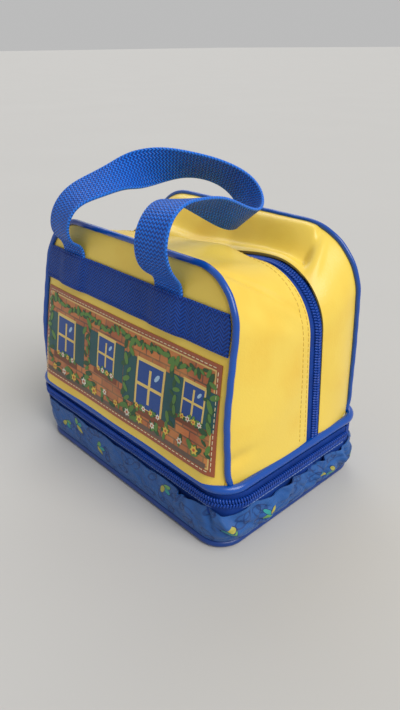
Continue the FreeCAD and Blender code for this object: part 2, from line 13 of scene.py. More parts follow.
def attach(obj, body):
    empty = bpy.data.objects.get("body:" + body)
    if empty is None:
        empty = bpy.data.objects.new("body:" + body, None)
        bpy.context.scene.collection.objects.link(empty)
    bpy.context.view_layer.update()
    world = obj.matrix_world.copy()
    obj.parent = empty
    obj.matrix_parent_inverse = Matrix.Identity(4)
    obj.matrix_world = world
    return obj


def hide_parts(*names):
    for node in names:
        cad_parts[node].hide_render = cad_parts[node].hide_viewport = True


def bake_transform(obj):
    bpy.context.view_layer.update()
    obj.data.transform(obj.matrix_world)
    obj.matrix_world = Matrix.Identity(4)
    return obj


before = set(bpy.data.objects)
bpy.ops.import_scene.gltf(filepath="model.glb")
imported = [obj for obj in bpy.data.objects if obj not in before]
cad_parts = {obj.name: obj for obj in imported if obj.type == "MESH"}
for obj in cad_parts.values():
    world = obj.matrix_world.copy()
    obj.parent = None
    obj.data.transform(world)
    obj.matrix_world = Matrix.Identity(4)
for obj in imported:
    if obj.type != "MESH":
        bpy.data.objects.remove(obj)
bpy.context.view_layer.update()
MM = 0.001

# %% [markdown]
# The camera comes first, so that every later piece can be judged against the picture. Its place was
# worked out from the edges of the bag; it could also be found by trial with a background image.

# %% camera
def add_camera(location, yaw, pitch, roll, lens):
    camera = bpy.data.objects.new("camera", bpy.data.cameras.new("camera"))
    bpy.context.scene.collection.objects.link(camera)
    turn = Matrix.Rotation(math.radians(yaw), 4, "Z") @ Matrix.Rotation(math.radians(90 - pitch), 4, "X")
    camera.matrix_world = Matrix.Translation(location) @ turn @ Matrix.Rotation(math.radians(roll), 4, "Z")
    camera.data.lens = lens
    camera.data.sensor_width = 36
    camera.data.clip_start = 0.01
    bpy.context.scene.camera = camera


add_camera((0.3081, -0.2736, 0.2867), yaw=47.3, pitch=26.9, roll=-0.6, lens=31.08)
bpy.context.scene.view_settings.view_transform = "Standard"
print("camera placed")

# %% [markdown]
# Materials are recipes of nodes. They could be wired by hand in the shader editor. Helpers that add one
# node at a time keep each recipe short, in the order in which its colour is made.

# %% node helpers
def add_node(tree, kind, inputs=None, **settings):
    node = tree.nodes.new(kind)
    for key, value in settings.items():
        setattr(node, key, value)
    for key, value in (inputs or {}).items():
        if isinstance(value, bpy.types.NodeSocket):
            tree.links.new(value, node.inputs[key])
        else:
            node.inputs[key].default_value = value
    return node


def math_node(tree, operation, a, b=0.0, c=0.0, clamp=False):
    inputs = {0: a, 1: b, 2: c}
    return add_node(tree, "ShaderNodeMath", inputs, operation=operation, use_clamp=clamp).outputs[0]


def mix_colour(tree, factor, a, b):
    node = add_node(tree, "ShaderNodeMix", {0: factor, 6: a, 7: b}, data_type="RGBA")
    return node.outputs[2]


def noise(tree, place, scale, detail=2.0):
    inputs = {"Vector": place, "Scale": scale, "Detail": detail}
    return add_node(tree, "ShaderNodeTexNoise", inputs).outputs[0]


print("node helpers ready")

# %% group helpers
def new_group(name, inputs, outputs):
    tree = bpy.data.node_groups.new(name, "ShaderNodeTree")
    for label, kind in inputs:
        tree.interface.new_socket(label, in_out="INPUT", socket_type=kind)
    for label, kind in outputs:
        tree.interface.new_socket(label, in_out="OUTPUT", socket_type=kind)
    return tree, tree.nodes.new("NodeGroupInput"), tree.nodes.new("NodeGroupOutput")


def use_group(tree, group, inputs):
    return add_node(tree, "ShaderNodeGroup", inputs, node_tree=group).outputs


print("group helpers ready")

# %% [markdown]
# Vinyl has a fine pebble grain, and slow patches where it is rubbed. Several materials share both, so
# they are one node group that gives out a height and a mask, and each material sets its own strength.

# %% vinyl grain group
PEBBLES_PER_METRE, PATCHES_PER_METRE = 900.0, 26.0


def make_grain():
    outputs = [("Height", "NodeSocketFloat"), ("Patches", "NodeSocketFloat")]
    tree, given, out = new_group("grain", [("Vector", "NodeSocketVector")], outputs)
    place = given.outputs["Vector"]
    pebbles = {"Vector": place, "Scale": PEBBLES_PER_METRE}
    cells = add_node(tree, "ShaderNodeTexVoronoi", pebbles, feature="SMOOTH_F1")
    slow = noise(tree, place, PATCHES_PER_METRE, 3.0)
    fine = math_node(tree, "MULTIPLY", cells.outputs["Distance"], 0.12)
    soft = math_node(tree, "MULTIPLY", slow, 0.9)
    tree.links.new(math_node(tree, "ADD", fine, soft), out.inputs["Height"])
    tree.links.new(slow, out.inputs["Patches"])
    return tree


grain_group = make_grain()
print("group:", grain_group.name)

# %% [markdown]
# Webbing shows slanted yarns that turn back at even steps, a chevron. Folding one coordinate and adding
# it to the other makes that in a few nodes; a picture of cloth would blur close up. The maps of woven
# pieces are in millimetres, so the sizes in this group are real.

# %% chevron groups
def make_chevron(name, width, pitch):
    sockets = [("Vector", "NodeSocketVector")]
    tree, given, out = new_group(name, sockets, [("Height", "NodeSocketFloat")])
    parts = add_node(tree, "ShaderNodeSeparateXYZ", {0: given.outputs["Vector"]}).outputs
    fold = math_node(tree, "PINGPONG", parts[0], width)
    slant = math_node(tree, "ADD", parts[1], fold)
    wave = math_node(tree, "SINE", math_node(tree, "MULTIPLY", slant, 2 * math.pi / pitch))
    tree.links.new(math_node(tree, "MULTIPLY_ADD", wave, 0.5, 0.5), out.inputs["Height"])
    return tree


band_group = make_chevron("band_weave", width=3.6, pitch=2.4)
strap_group = make_chevron("strap_weave", width=1.4, pitch=2.3)
print("groups:", band_group.name, strap_group.name)

# %% [markdown]
# The upper bag, the piping and the lining are vinyl, a soft plastic with a little gloss. One function
# makes all of them from two tones, a roughness and a bump, because separate recipes would only repeat.

# %% material helpers
def new_material(name, colour, roughness, **sockets):
    mat = bpy.data.materials.new(name)
    mat.use_nodes = True
    shader = mat.node_tree.nodes["Principled BSDF"]
    shader.inputs["Base Color"].default_value = (*colour, 1)
    shader.inputs["Roughness"].default_value = roughness
    for key, value in sockets.items():
        shader.inputs[key.replace("_", " ")].default_value = value
    mat.diffuse_color = (*colour, 1)
    return mat, mat.node_tree, shader


def give_bump(tree, shader, height, strength, distance):
    bump = add_node(tree, "ShaderNodeBump", {"Height": height, "Strength": strength, "Distance": distance})
    tree.links.new(bump.outputs[0], shader.inputs["Normal"])


def object_place(tree):
    return add_node(tree, "ShaderNodeTexCoord").outputs["Object"]


def map_place(tree):
    return add_node(tree, "ShaderNodeUVMap", uv_map="UVMap").outputs[0]


print("material helpers ready")

# %% vinyl materials
FADE_START, FADE_GAIN = 0.45, 3.0


def vinyl(name, colour, worn, roughness, bump, coat=0.0):
    mat, tree, shader = new_material(name, colour, roughness, Coat_Weight=coat, Coat_Roughness=0.25)
    grain = use_group(tree, grain_group, {"Vector": object_place(tree)})
    fade = math_node(tree, "SUBTRACT", grain["Patches"], FADE_START, clamp=True)
    fade = math_node(tree, "MULTIPLY", fade, FADE_GAIN, clamp=True)
    tree.links.new(mix_colour(tree, fade, (*colour, 1), (*worn, 1)), shader.inputs["Base Color"])
    rough = math_node(tree, "MULTIPLY_ADD", grain["Patches"], 0.25, roughness - 0.12)
    tree.links.new(rough, shader.inputs["Roughness"])
    give_bump(tree, shader, grain["Height"], bump, 0.0012)
    return mat


yellow = vinyl("yellow_vinyl", (0.92, 0.66, 0.10), (0.88, 0.57, 0.065), 0.34, 0.45)
piping_blue = vinyl("blue_piping", (0.001, 0.066, 0.38), (0.001, 0.090, 0.46), 0.24, 0.10, coat=0.25)
base_blue = vinyl("dark_piping", (0.001, 0.036, 0.22), (0.001, 0.050, 0.28), 0.32, 0.10, coat=0.1)
lining = vinyl("pale_lining", (0.72, 0.72, 0.69), (0.66, 0.66, 0.62), 0.45, 0.25)
print("vinyl:", yellow.name, piping_blue.name, base_blue.name, lining.name)

# %% [markdown]
# Handles and bands are woven blue yarn. The chevron gives the yarns their height, and the same height
# picks between a dark and a light tone. On the handles the pattern is turned to run along the strap, and
# a painted highlight, a lighter tone, runs along both edges. Yarns could be modelled one by one, but that
# would be far too many faces.

# %% woven materials
STRAP_YARNS = (0.001, 0.034, 0.28), (0.003, 0.190, 0.90)
BAND_YARNS = (0.001, 0.020, 0.16), (0.003, 0.078, 0.46)
# Colour and width of the painted highlight along the strap's edges.
STRAP_EDGE_HIGHLIGHT = (0.020, 0.22, 0.90, 1)
STRAP_HALF, HIGHLIGHT_WIDE = 12.5, 1.1


def woven(name, group, yarns, strength, distance, roughness, turned=False):
    dark, light = yarns
    mat, tree, shader = new_material(name, light, roughness, Sheen_Weight=0.04, Specular_IOR_Level=0.3)
    flat = map_place(tree)
    if turned:
        parts = add_node(tree, "ShaderNodeSeparateXYZ", {0: flat}).outputs
        flat = add_node(tree, "ShaderNodeCombineXYZ", {0: parts[1], 1: parts[0]}).outputs[0]
    weave = use_group(tree, group, {"Vector": flat})["Height"]
    slow = noise(tree, object_place(tree), 60.0, 3.0)
    shade = math_node(tree, "MULTIPLY", weave, math_node(tree, "ADD", slow, 0.5), clamp=True)
    tone = mix_colour(tree, shade, (*dark, 1), (*light, 1))
    if turned:
        # Painted highlight: a lighter tone in a narrow band along both edges of the strap, for light caught
        # there.
        edge = math_node(tree, "PINGPONG", parts[1], STRAP_HALF)
        edge = math_node(tree, "LESS_THAN", edge, HIGHLIGHT_WIDE)
        tone = mix_colour(tree, math_node(tree, "MULTIPLY", edge, 0.55), tone, STRAP_EDGE_HIGHLIGHT)
    tree.links.new(tone, shader.inputs["Base Color"])
    give_bump(tree, shader, weave, strength, distance)
    return mat


webbing = woven("blue_webbing", strap_group, STRAP_YARNS, 0.9, 0.0007, 0.45, turned=True)
herringbone = woven("blue_herringbone", band_group, BAND_YARNS, 0.8, 0.0006, 0.55)
print("woven:", webbing.name, herringbone.name)

# %% [markdown]
# Zip tapes, coils, the base, the boards and the threads are plain. Two close tones mixed by a noise, and a
# fine weave as bump, are enough for them; a pattern of yarns as on the webbing would not show.

# %% zip, cloth and thread materials
def cloth(name, colour, dark, roughness=0.7, pitch=1500.0):
    mat, tree, shader = new_material(name, colour, roughness, Specular_IOR_Level=0.35)
    place = object_place(tree)
    weave = add_node(tree, "ShaderNodeTexWave", {"Vector": place, "Scale": pitch, "Distortion": 2.0})
    slow = noise(tree, place, 90.0, 4.0)
    tree.links.new(mix_colour(tree, slow, (*dark, 1), (*colour, 1)), shader.inputs["Base Color"])
    give_bump(tree, shader, weave.outputs["Fac"], 0.3, 0.0003)
    return mat


def thread(name, colour, dark):
    return cloth(name, colour, dark, roughness=0.6, pitch=4000.0)


zip_tape = cloth("zip_tape", (0.003, 0.056, 0.36), (0.001, 0.024, 0.18))
zip_coil = cloth("zip_coil", (0.006, 0.072, 0.44), (0.003, 0.040, 0.28), 0.32, 500.0)
base_cloth = cloth("base_cloth", (0.010, 0.075, 0.36), (0.006, 0.050, 0.26))
board = cloth("board", (0.40, 0.36, 0.30), (0.34, 0.30, 0.25), 0.85, 700.0)
yellow_thread = thread("yellow_thread", (0.80, 0.56, 0.10), (0.62, 0.40, 0.06))
cream_thread = thread("cream_thread", (0.85, 0.76, 0.52), (0.70, 0.58, 0.34))
blue_thread = thread("blue_thread", (0.012, 0.06, 0.42), (0.006, 0.03, 0.22))
pale_thread = thread("pale_thread", (0.30, 0.42, 0.72), (0.16, 0.26, 0.56))
print("zip, cloth and thread materials ready")

# %% [markdown]
# Sliders and pulls are metal with blue paint, chipped in small spots. A limit set on a fine noise gives
# the chips; placed by hand they would look no better at this size.

# %% painted metal
PAINT, BARE_METAL = (0.012, 0.045, 0.28), (0.45, 0.45, 0.46)


def painted_metal():
    mat, tree, shader = new_material("zip_hardware", PAINT, 0.3, Metallic=0.35, Coat_Weight=0.5)
    slow = noise(tree, object_place(tree), 300.0, 4.0)
    chipped = math_node(tree, "GREATER_THAN", slow, 0.66)
    tone = mix_colour(tree, chipped, (*PAINT, 1), (*BARE_METAL, 1))
    tree.links.new(tone, shader.inputs["Base Color"])
    give_bump(tree, shader, slow, 0.1, 0.0003)
    return mat


hardware = painted_metal()
print("metal:", hardware.name)

# %% [markdown]
# The lower compartment is printed nylon. Its print is a free scatter of leaves: each cell of a Voronoi
# texture turns its own coordinates by a random angle, and an ellipse in it is a leaf. Drawn as a ring it
# gives the navy outlines, and filled, with a rim, the coloured leaves. A drawn tile would show repeats.

# %% leaf shapes
FULL_TURN = 6.28


def leaf_distance(tree, place, size, leaf, shift):
    long, wide = leaf
    spots = {"Vector": place, "Scale": 1.0 / size}
    cells = add_node(tree, "ShaderNodeTexVoronoi", spots, voronoi_dimensions="2D").outputs
    apart = {0: place, 1: cells["Position"]}
    local = add_node(tree, "ShaderNodeVectorMath", apart, operation="SUBTRACT").outputs[0]
    draw = add_node(tree, "ShaderNodeSeparateColor", {0: cells["Color"]}).outputs
    turn = {"Vector": local, "Angle": math_node(tree, "MULTIPLY_ADD", draw[0], FULL_TURN, shift)}
    turned = add_node(tree, "ShaderNodeVectorRotate", turn, rotation_type="Z_AXIS").outputs[0]
    parts = add_node(tree, "ShaderNodeSeparateXYZ", {0: turned}).outputs
    x = math_node(tree, "DIVIDE", math_node(tree, "SUBTRACT", parts[0], long * 0.8), long)
    y = math_node(tree, "DIVIDE", parts[1], wide)
    far = math_node(tree, "ADD", math_node(tree, "MULTIPLY", x, x), math_node(tree, "MULTIPLY", y, y))
    return far, draw[1]


print("leaf shapes ready")

# %% leaf print
NAVY = (0.002, 0.022, 0.13, 1)
OUTLINES = (19.0, 0.4, 0.38), (19.0, 1.9, 0.30), (27.0, 3.0, 0.34)
LEAVES = (0.0, (0.16, 0.40, 0.12, 1)), (1.1, (0.03, 0.33, 0.32, 1)), (2.4, (0.48, 0.44, 0.08, 1))


def leaf_outlines(tree, flat, tone):
    for size, shift, thick in OUTLINES:
        far = leaf_distance(tree, flat, size, (5.4, 2.8), shift)[0]
        line = math_node(tree, "COMPARE", far, 1.0, thick)
        tone = mix_colour(tree, math_node(tree, "MULTIPLY", line, 0.6), tone, NAVY)
    return tone


def coloured_leaves(tree, flat, tone):
    for shift, colour in LEAVES:
        far, pick = leaf_distance(tree, flat, 26.0, (4.4, 2.0), shift)
        shown = math_node(tree, "GREATER_THAN", pick, 0.45)
        rim = math_node(tree, "MULTIPLY", math_node(tree, "LESS_THAN", far, 1.45), shown)
        leaf = math_node(tree, "MULTIPLY", math_node(tree, "LESS_THAN", far, 1.0), shown)
        tone = mix_colour(tree, leaf, mix_colour(tree, rim, tone, NAVY), colour)
    return tone


print("leaf print:", len(OUTLINES), "layers of outlines,", len(LEAVES), "of leaves")

# %% printed nylon
NYLON = (0.03, 0.13, 0.46)
NYLON_DARK, NYLON_LIGHT = (0.008, 0.060, 0.26, 1), (0.030, 0.150, 0.46, 1)


def printed_nylon():
    mat, tree, shader = new_material("blue_nylon", NYLON, 0.44, Sheen_Weight=0.05, Specular_IOR_Level=0.4)
    place, flat = object_place(tree), map_place(tree)
    tone = mix_colour(tree, noise(tree, flat, 0.07, 3.0), NYLON_DARK, NYLON_LIGHT)
    tone = coloured_leaves(tree, flat, leaf_outlines(tree, flat, tone))
    tree.links.new(tone, shader.inputs["Base Color"])
    weave = add_node(tree, "ShaderNodeTexWave", {"Vector": flat, "Scale": 2.2, "Distortion": 0.6})
    fine = math_node(tree, "MULTIPLY", weave.outputs["Fac"], 0.15)
    give_bump(tree, shader, math_node(tree, "ADD", fine, noise(tree, place, 210.0, 3.0)), 0.35, 0.0012)
    return mat


nylon = printed_nylon()
print("print:", nylon.name)

# %% [markdown]
# The picture patch gets a plain garden wall: a brick texture with warm changes of colour and a border.
# The windows and plants on it are thin shapes laid on later, which keeps this recipe short.

# %% brick print
PATCH_WIDE, PATCH_TALL = 190.0, 71.5
BRICK_SIZES = {"Scale": 1.0, "Mortar Size": 0.55, "Brick Width": 13.0, "Row Height": 5.6, "Bias": -0.1}
BRICK, BRICK_DARK, MORTAR = (0.58, 0.16, 0.035, 1), (0.34, 0.075, 0.022, 1), (0.15, 0.055, 0.025, 1)
SUNNY, GOLD_LINE, BORDER = (0.85, 0.42, 0.10, 1), (0.72, 0.50, 0.16, 1), (0.36, 0.085, 0.028, 1)
LINE_REACH, BORDER_REACH = 4.9, 3.9


def edge_distance(tree, flat):
    parts = add_node(tree, "ShaderNodeSeparateXYZ", {0: flat}).outputs
    x = math_node(tree, "MINIMUM", parts[0], math_node(tree, "SUBTRACT", PATCH_WIDE, parts[0]))
    y = math_node(tree, "MINIMUM", parts[1], math_node(tree, "SUBTRACT", PATCH_TALL, parts[1]))
    return math_node(tree, "MINIMUM", x, y)


def brick_print():
    mat, tree, shader = new_material("printed_vinyl", (0.55, 0.20, 0.06), 0.38, Coat_Weight=0.2)
    flat = map_place(tree)
    tones = {"Color1": BRICK, "Color2": BRICK_DARK, "Mortar": MORTAR}
    wall = add_node(tree, "ShaderNodeTexBrick", {"Vector": flat, **BRICK_SIZES, **tones})
    warm = math_node(tree, "MULTIPLY", noise(tree, flat, 0.045, 4.0), 1.1, clamp=True)
    warm = math_node(tree, "SUBTRACT", warm, 0.42, clamp=True)
    tone = mix_colour(tree, warm, wall.outputs["Color"], SUNNY)
    edge = edge_distance(tree, flat)
    tone = mix_colour(tree, math_node(tree, "LESS_THAN", edge, LINE_REACH), tone, GOLD_LINE)
    tone = mix_colour(tree, math_node(tree, "LESS_THAN", edge, BORDER_REACH), tone, BORDER)
    tree.links.new(tone, shader.inputs["Base Color"])
    grain = use_group(tree, grain_group, {"Vector": object_place(tree)})
    give_bump(tree, shader, grain["Height"], 0.25, 0.001)
    return mat


patch_print = brick_print()
print("print:", patch_print.name)

# %% [markdown]
# The curved cloth pieces all start as a flat grid. Each point of the grid is then moved to its place on
# a formula for the sewn shape, which keeps the faces even and gives a map along the cloth for free.
# Bending a flat plane by hand would also work, but the seams of neighbouring pieces would not meet.

# %% grid helpers
def pick_only(obj):
    bpy.ops.object.select_all(action="DESELECT")
    obj.select_set(True)
    bpy.context.view_layer.objects.active = obj


def cloth_grid(name, columns, rows, place, wide=1.0, tall=1.0):
    bpy.ops.object.select_all(action="DESELECT")
    bpy.ops.mesh.primitive_grid_add(x_subdivisions=columns, y_subdivisions=rows, size=1)
    obj = bpy.context.object
    obj.name = obj.data.name = name
    flat = np.empty(len(obj.data.vertices) * 3)
    obj.data.vertices.foreach_get("co", flat)
    points = np.array(place(flat[0::3] + 0.5, flat[1::3] + 0.5)).T * MM
    obj.data.vertices.foreach_set("co", points.ravel())
    cloth_map = np.empty(len(obj.data.loops) * 2)
    obj.data.uv_layers[0].data.foreach_get("uv", cloth_map)
    obj.data.uv_layers[0].data.foreach_set("uv", cloth_map * np.tile((wide, tall), len(obj.data.loops)))
    obj.data.uv_layers[0].name = "UVMap"
    obj.data.update()
    return obj


def apply_modifier(obj, kind, **settings):
    modifier = obj.modifiers.new(kind.lower(), kind)
    for key, value in settings.items():
        setattr(modifier, key, value)
    pick_only(obj)
    bpy.ops.object.modifier_apply(modifier=modifier.name)


print("grid helpers ready")

# %% finishing helpers
WELD = 0.00001


def finish_piece(obj, materials, slot, weld=False, angle=40):
    for mat in materials:
        obj.data.materials.append(mat)
    pick_only(obj)
    if weld:
        bpy.ops.object.mode_set(mode="EDIT")
        bpy.ops.mesh.select_all(action="SELECT")
        bpy.ops.mesh.remove_doubles(threshold=WELD)
        bpy.ops.mesh.normals_make_consistent(inside=False)
        bpy.ops.object.mode_set(mode="OBJECT")
    bpy.ops.object.shade_smooth_by_angle(angle=math.radians(angle))
    print(obj.name, len(obj.data.polygons), "faces")
    return obj


def lined_vinyl(obj, thick):
    obj.data.materials.append(yellow)
    obj.data.materials.append(lining)
    apply_modifier(obj, "SOLIDIFY", thickness=thick * MM, offset=-1, material_offset=1)
    return finish_piece(obj, [], "yellow_vinyl")


def thicken(obj, thick, material, slot, **finish):
    apply_modifier(obj, "SOLIDIFY", thickness=thick * MM, offset=-1)
    return finish_piece(obj, [material], slot, **finish)


print("finishing helpers ready")

# %% [markdown]
# Front and back panels are arches that lean inward. One formula gives the panels, their piping and the
# edge of the gussets, so all of them meet at the seam; a traced outline for each would leave gaps. Along
# the arch, t goes from 0 at the left foot to 1 at the right foot; x is sideways and v is up the panel.

# %% arch formula
SIDE_SHARE, CORNER_SHARE = 0.224, 0.353
FRONT = {
    "facing": -1, "y": -71.0, "lean": math.radians(10.7), "wrap": 7.5,
    "half": 102.5, "cx": 62.0, "cv": 92.0, "r": 36.0, "drop": 3.2,
}
BACK = {
    "facing": 1, "y": 67.0, "lean": math.radians(5.2), "wrap": 3.0,
    "half": 100.5, "cx": 59.5, "cv": 90.0, "r": 42.0, "drop": 3.2,
}


def inset(shape, distance):
    return dict(shape, half=shape["half"] - distance, r=shape["r"] - distance)


def arch(shape, t):
    half, cx, cv, r = shape["half"], shape["cx"], shape["cv"], shape["r"]
    touch = math.acos(r / math.hypot(half - cx, cv)) - math.atan2(cv, half - cx)
    low = np.minimum(t, 1 - t)
    side = low / SIDE_SHARE
    side_x = half + (cx + r * math.cos(touch) - half) * side
    side_v = (cv + r * math.sin(touch)) * side - shape["drop"] * (1 - side) ** 8
    turn = touch + (math.pi / 2 - touch) * (low - SIDE_SHARE) / (CORNER_SHARE - SIDE_SHARE)
    top_x = cx * (1 - (low - CORNER_SHARE) / (0.5 - CORNER_SHARE))
    x = np.where(low < SIDE_SHARE, side_x, cx + r * np.cos(turn))
    v = np.where(low < SIDE_SHARE, side_v, cv + r * np.sin(turn))
    x = np.where(low > CORNER_SHARE, top_x, x)
    v = np.where(low > CORNER_SHARE, cv + r, v)
    return np.where(t < 0.5, -x, x), v


print("front arch:", 2 * FRONT["half"], "wide,", FRONT["cv"] + FRONT["r"], "tall")

# %% panel formula
SEAM_Z = 49.6
PUFF, RIPPLE = 2.2, 0.35
WRAP_FROM, WRAP_WIDE, WRAP_TALL = 88, 15, 55


def ease(x):
    x = np.clip(x, 0, 1)
    return x * x * (3 - 2 * x)


def panel_point(shape, x, v, out):
    lean = shape["lean"]
    puff = PUFF * np.clip(1 - (x / 100) ** 2, 0, 1) * np.sin(np.clip(v / 130, 0, 1) * math.pi)
    corner = np.clip((np.abs(x) - WRAP_FROM) / WRAP_WIDE, 0, 1.2)
    wrap = shape["wrap"] * corner ** 2 * (1 - ease(v / WRAP_TALL))
    ripple = RIPPLE * np.sin(x / 17 + v / 31) * np.sin(v / 23 - x / 41)
    out = out + puff + ripple
    away = out * math.cos(lean) - v * math.sin(lean) - wrap
    return x, shape["y"] + shape["facing"] * away, SEAM_Z + v * math.cos(lean) + out * math.sin(lean)


print("panel formula ready, seam at", SEAM_Z)

# %% [markdown]
# A panel is vinyl, foam and lining sewn together. A grid fills the arch, its rim sinks toward the seam,
# and Solidify gives the thickness, with the lining inside. An arch cut from a plane in edit mode would
# have long thin faces, which shade badly on the swell.

# %% padded panels
PANEL_INSET, PANEL_THICK = 1.2, 4.9
RIM_SINK, RIM_WIDE = 1.6, 7


def padded_panel(name, shape, nodes, body):
    edge = inset(shape, PANEL_INSET)

    def place(u, k):
        x, v = arch(edge, 1 - k * CORNER_SHARE)
        x = shape["facing"] * (1 - 2 * u) * x
        rim = np.clip(1 - (1 - np.abs(2 * u - 1)) * 100 / RIM_WIDE, 0, 1)
        return panel_point(shape, x, v, -RIM_SINK * rim ** 2)

    obj = lined_vinyl(cloth_grid(name, 90, 70, place, 200, 130), PANEL_THICK)
    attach(obj, body)
    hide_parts(*nodes)


padded_panel("front_pad", FRONT, ("front_panel", "front_foam", "front_lining"), "front_half")
padded_panel("back_pad", BACK, ("back_panel", "back_foam", "back_lining"), "back_half")

# %% [markdown]
# Piping is a cord under vinyl. A grid rolled around a line gives the tube, and its ends close to a point.
# A curve with a round bevel is the other usual way; the grid lets the tube share the seam formula.

# %% tube helper
def unit(rows):
    return rows / np.linalg.norm(rows, axis=1, keepdims=True)


def tube(name, centre, toward, radius, sides=14):
    count = len(centre) - 1
    run = unit(np.gradient(centre, axis=0))
    first = unit(toward - run * np.sum(toward * run, axis=1, keepdims=True))
    second = np.cross(run, first)

    def place(u, v):
        i = np.rint(u * count).astype(int)
        end = np.minimum(i, count - i)
        r = radius * np.sqrt(np.clip(end / 2.0, 0, 1))
        turn = 2 * math.pi * v
        to_first, to_second = (r * np.cos(turn))[:, None], (r * np.sin(turn))[:, None]
        return (centre[i] + to_first * first[i] + to_second * second[i]).T

    return cloth_grid(name, count, sides, place, 400, 12)


print("tube helper ready")

# %% piping
PIPING_OUTSET, PIPING_SUNK = 0.4, 0.5
FOOT_SUNK, FOOT_TALL = 3.2, 9


def panel_piping(name, shape, radius, node, body):
    t = np.linspace(0, 1, 241)
    x, v = arch(inset(shape, -PIPING_OUTSET), t)
    foot = FOOT_SUNK * np.clip(1 - v / FOOT_TALL, 0, 1.3) ** 2
    wobble = 0.12 * np.sin(t * 190)
    centre = np.array(panel_point(shape, x, v, -PIPING_SUNK - foot + wobble)).T
    toward = np.tile((0.0, float(shape["facing"]), 0.0), (len(t), 1))
    obj = finish_piece(tube(name, centre, toward, radius), [piping_blue], "blue_piping", weld=True)
    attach(obj, body)
    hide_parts(node)


panel_piping("front_cord", FRONT, 2.05, "front_piping", "front_half")
panel_piping("back_cord", BACK, 1.75, "back_piping", "back_half")

# %% [markdown]
# The gusset is the vinyl that runs from a panel over the top to the zip. It is a loft between the seam
# and the zip line, with a little slack pushed outward. Its folds are bumps added to the slack: a crest
# in front, a valley behind, and a dip at the left shoulder. Sculpting could give the same folds, but
# would pull the edges off the seam and the zip. Here w goes from 0 at the seam to 1 at the zip.

# %% zip line
ZIP = {"half": 107.0, "cx": 61.0, "cv": 70.4, "r": 42.5, "drop": 3.2}
ZIP_Y = 17.0
TOP_SAG, LEFT_SAG = 7, 7.5


def between(t, rise, fall):
    return ease((t - rise[0]) / rise[1]) * (1 - ease((t - fall[0]) / fall[1]))


def left_dip(t):
    return between(t, rise=(0.26, 0.09), fall=(0.43, 0.09))


def zip_line(t):
    x, v = arch(ZIP, t)
    low = np.minimum(t, 1 - t)
    s = np.clip((0.5 - low) / (0.5 - CORNER_SHARE), 0, 1)
    sag = TOP_SAG * np.cos(math.pi * s / 2) ** 2 + LEFT_SAG * left_dip(t)
    return np.array([x, np.full_like(x, ZIP_Y), SEAM_Z + v - sag])


def hoop_out(t):
    step = 0.002
    run = zip_line(np.clip(t + step, 0, 1)) - zip_line(np.clip(t - step, 0, 1))
    out = np.array([-run[2], np.zeros_like(t), run[0]])
    return out / np.linalg.norm(out, axis=0)


print("zip line ready, its top at", SEAM_Z + ZIP["cv"] + ZIP["r"] - TOP_SAG)

# %% gusset folds
CREST, LIP, POCKET, RIDGE = 7.0, 3.2, 7.2, 1.8
SHOULDER, CREASE, FOOT_CREASE = 2.5, 1.7, 1.5


def bell(x, width):
    return np.exp(-(x / width) ** 2)


def back_valley(t, w):
    fold = t - 0.662 - 0.03 * w
    span = between(t, (0.28, 0.12), (0.662 + 0.03 * w, 0.011))
    lip = LIP * bell(w - 0.20, 0.16)
    pocket = POCKET * bell(w - 0.64, 0.19) * (0.7 + 0.3 * ease((t - 0.5) / 0.15))
    ridge = RIDGE * bell(fold - 0.018, 0.008) * np.sin(math.pi * w)
    return span * (lip - pocket) + ridge


def front_crest(t, w):
    swell = np.sin(math.pi * w)
    crest = CREST * between(t, (0.38, 0.11), (0.595, 0.06)) * np.sin(math.pi * w ** 1.8)
    crease = bell(t - 0.672 - 0.085 * w, 0.008) + 0.7 * bell(t - 0.722 - 0.05 * w, 0.013)
    foot = bell(t - 0.965 + 0.03 * w, 0.012) * bell(w - 0.12, 0.16)
    return crest - (SHOULDER * left_dip(t) + CREASE * crease) * swell - FOOT_CREASE * foot


print("gusset folds: crest", CREST, "high, pocket", POCKET, "deep")

# %% gussets
ZIP_EDGE = {-1: 8.5, 1: 4.8}
SEAM_INSET, SEAM_SUNK = 0.6, 1.4
SIDE_SLACK, WAVE_SLACK = 2.2, 0.55


def gusset_point(shape, t, w, depth=0.0):
    x, v = arch(inset(shape, SEAM_INSET), t)
    seam = np.array(panel_point(shape, x, v, -SEAM_SUNK))
    span = zip_line(t) - seam
    reach = 1 - ZIP_EDGE[shape["facing"]] / np.linalg.norm(span, axis=0)
    side = 1 - ease((np.minimum(t, 1 - t) - 0.15) / 0.15)
    swell = np.sin(math.pi * w)
    slack = swell ** 0.8 * (1.0 + SIDE_SLACK * side)
    slack = slack + WAVE_SLACK * np.sin(t * 31 + 4 * w) * swell * np.sin(t * 13 - 1)
    slack = slack + (front_crest(t, w) if shape["facing"] < 0 else back_valley(t, w))
    return seam + span * (w * reach) + hoop_out(t) * (slack - depth)


def gusset(name, shape, nodes):
    def place(t, w):
        return gusset_point(shape, t, w if shape["facing"] < 0 else 1 - w)

    obj = lined_vinyl(cloth_grid(name, 420, 36, place, 420, 80), 2.4)
    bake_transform(obj)
    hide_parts(*nodes)


gusset("front_wrap", FRONT, ("front_gusset", "front_gusset_lining"))
gusset("back_wrap", BACK, ("back_gusset", "back_gusset_lining"))

# %% [markdown]
# When the front folds open, the foot of its gusset lifts a little. A low strip of the same vinyl stands
# behind each foot, sewn to the waist, so that little of the gap shows. It is the gusset's formula again,
# set deeper; a gusset tucked into the waist would do too, but would show in the lower compartment.

# %% foot strips
FOOT_SHARE = 0.044


def foot_strip(name, first):
    def place(u, w):
        return gusset_point(FRONT, first + FOOT_SHARE * u, w, depth=3.0)

    obj = lined_vinyl(cloth_grid(name, 10, 36, place, 17, 80), 0.8)
    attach(obj, "upper")


foot_strip("foot_strip_left", 0.0)
foot_strip("foot_strip_right", 1 - FOOT_SHARE)

# %% [markdown]
# Small repeated things, the coil turns and the stitches, are modelled once from a primitive and copied
# along a line. An array on a curve would do it too, but its copies shear in tight bends. Each row
# becomes one mesh, so it can ride or bend with its cloth.

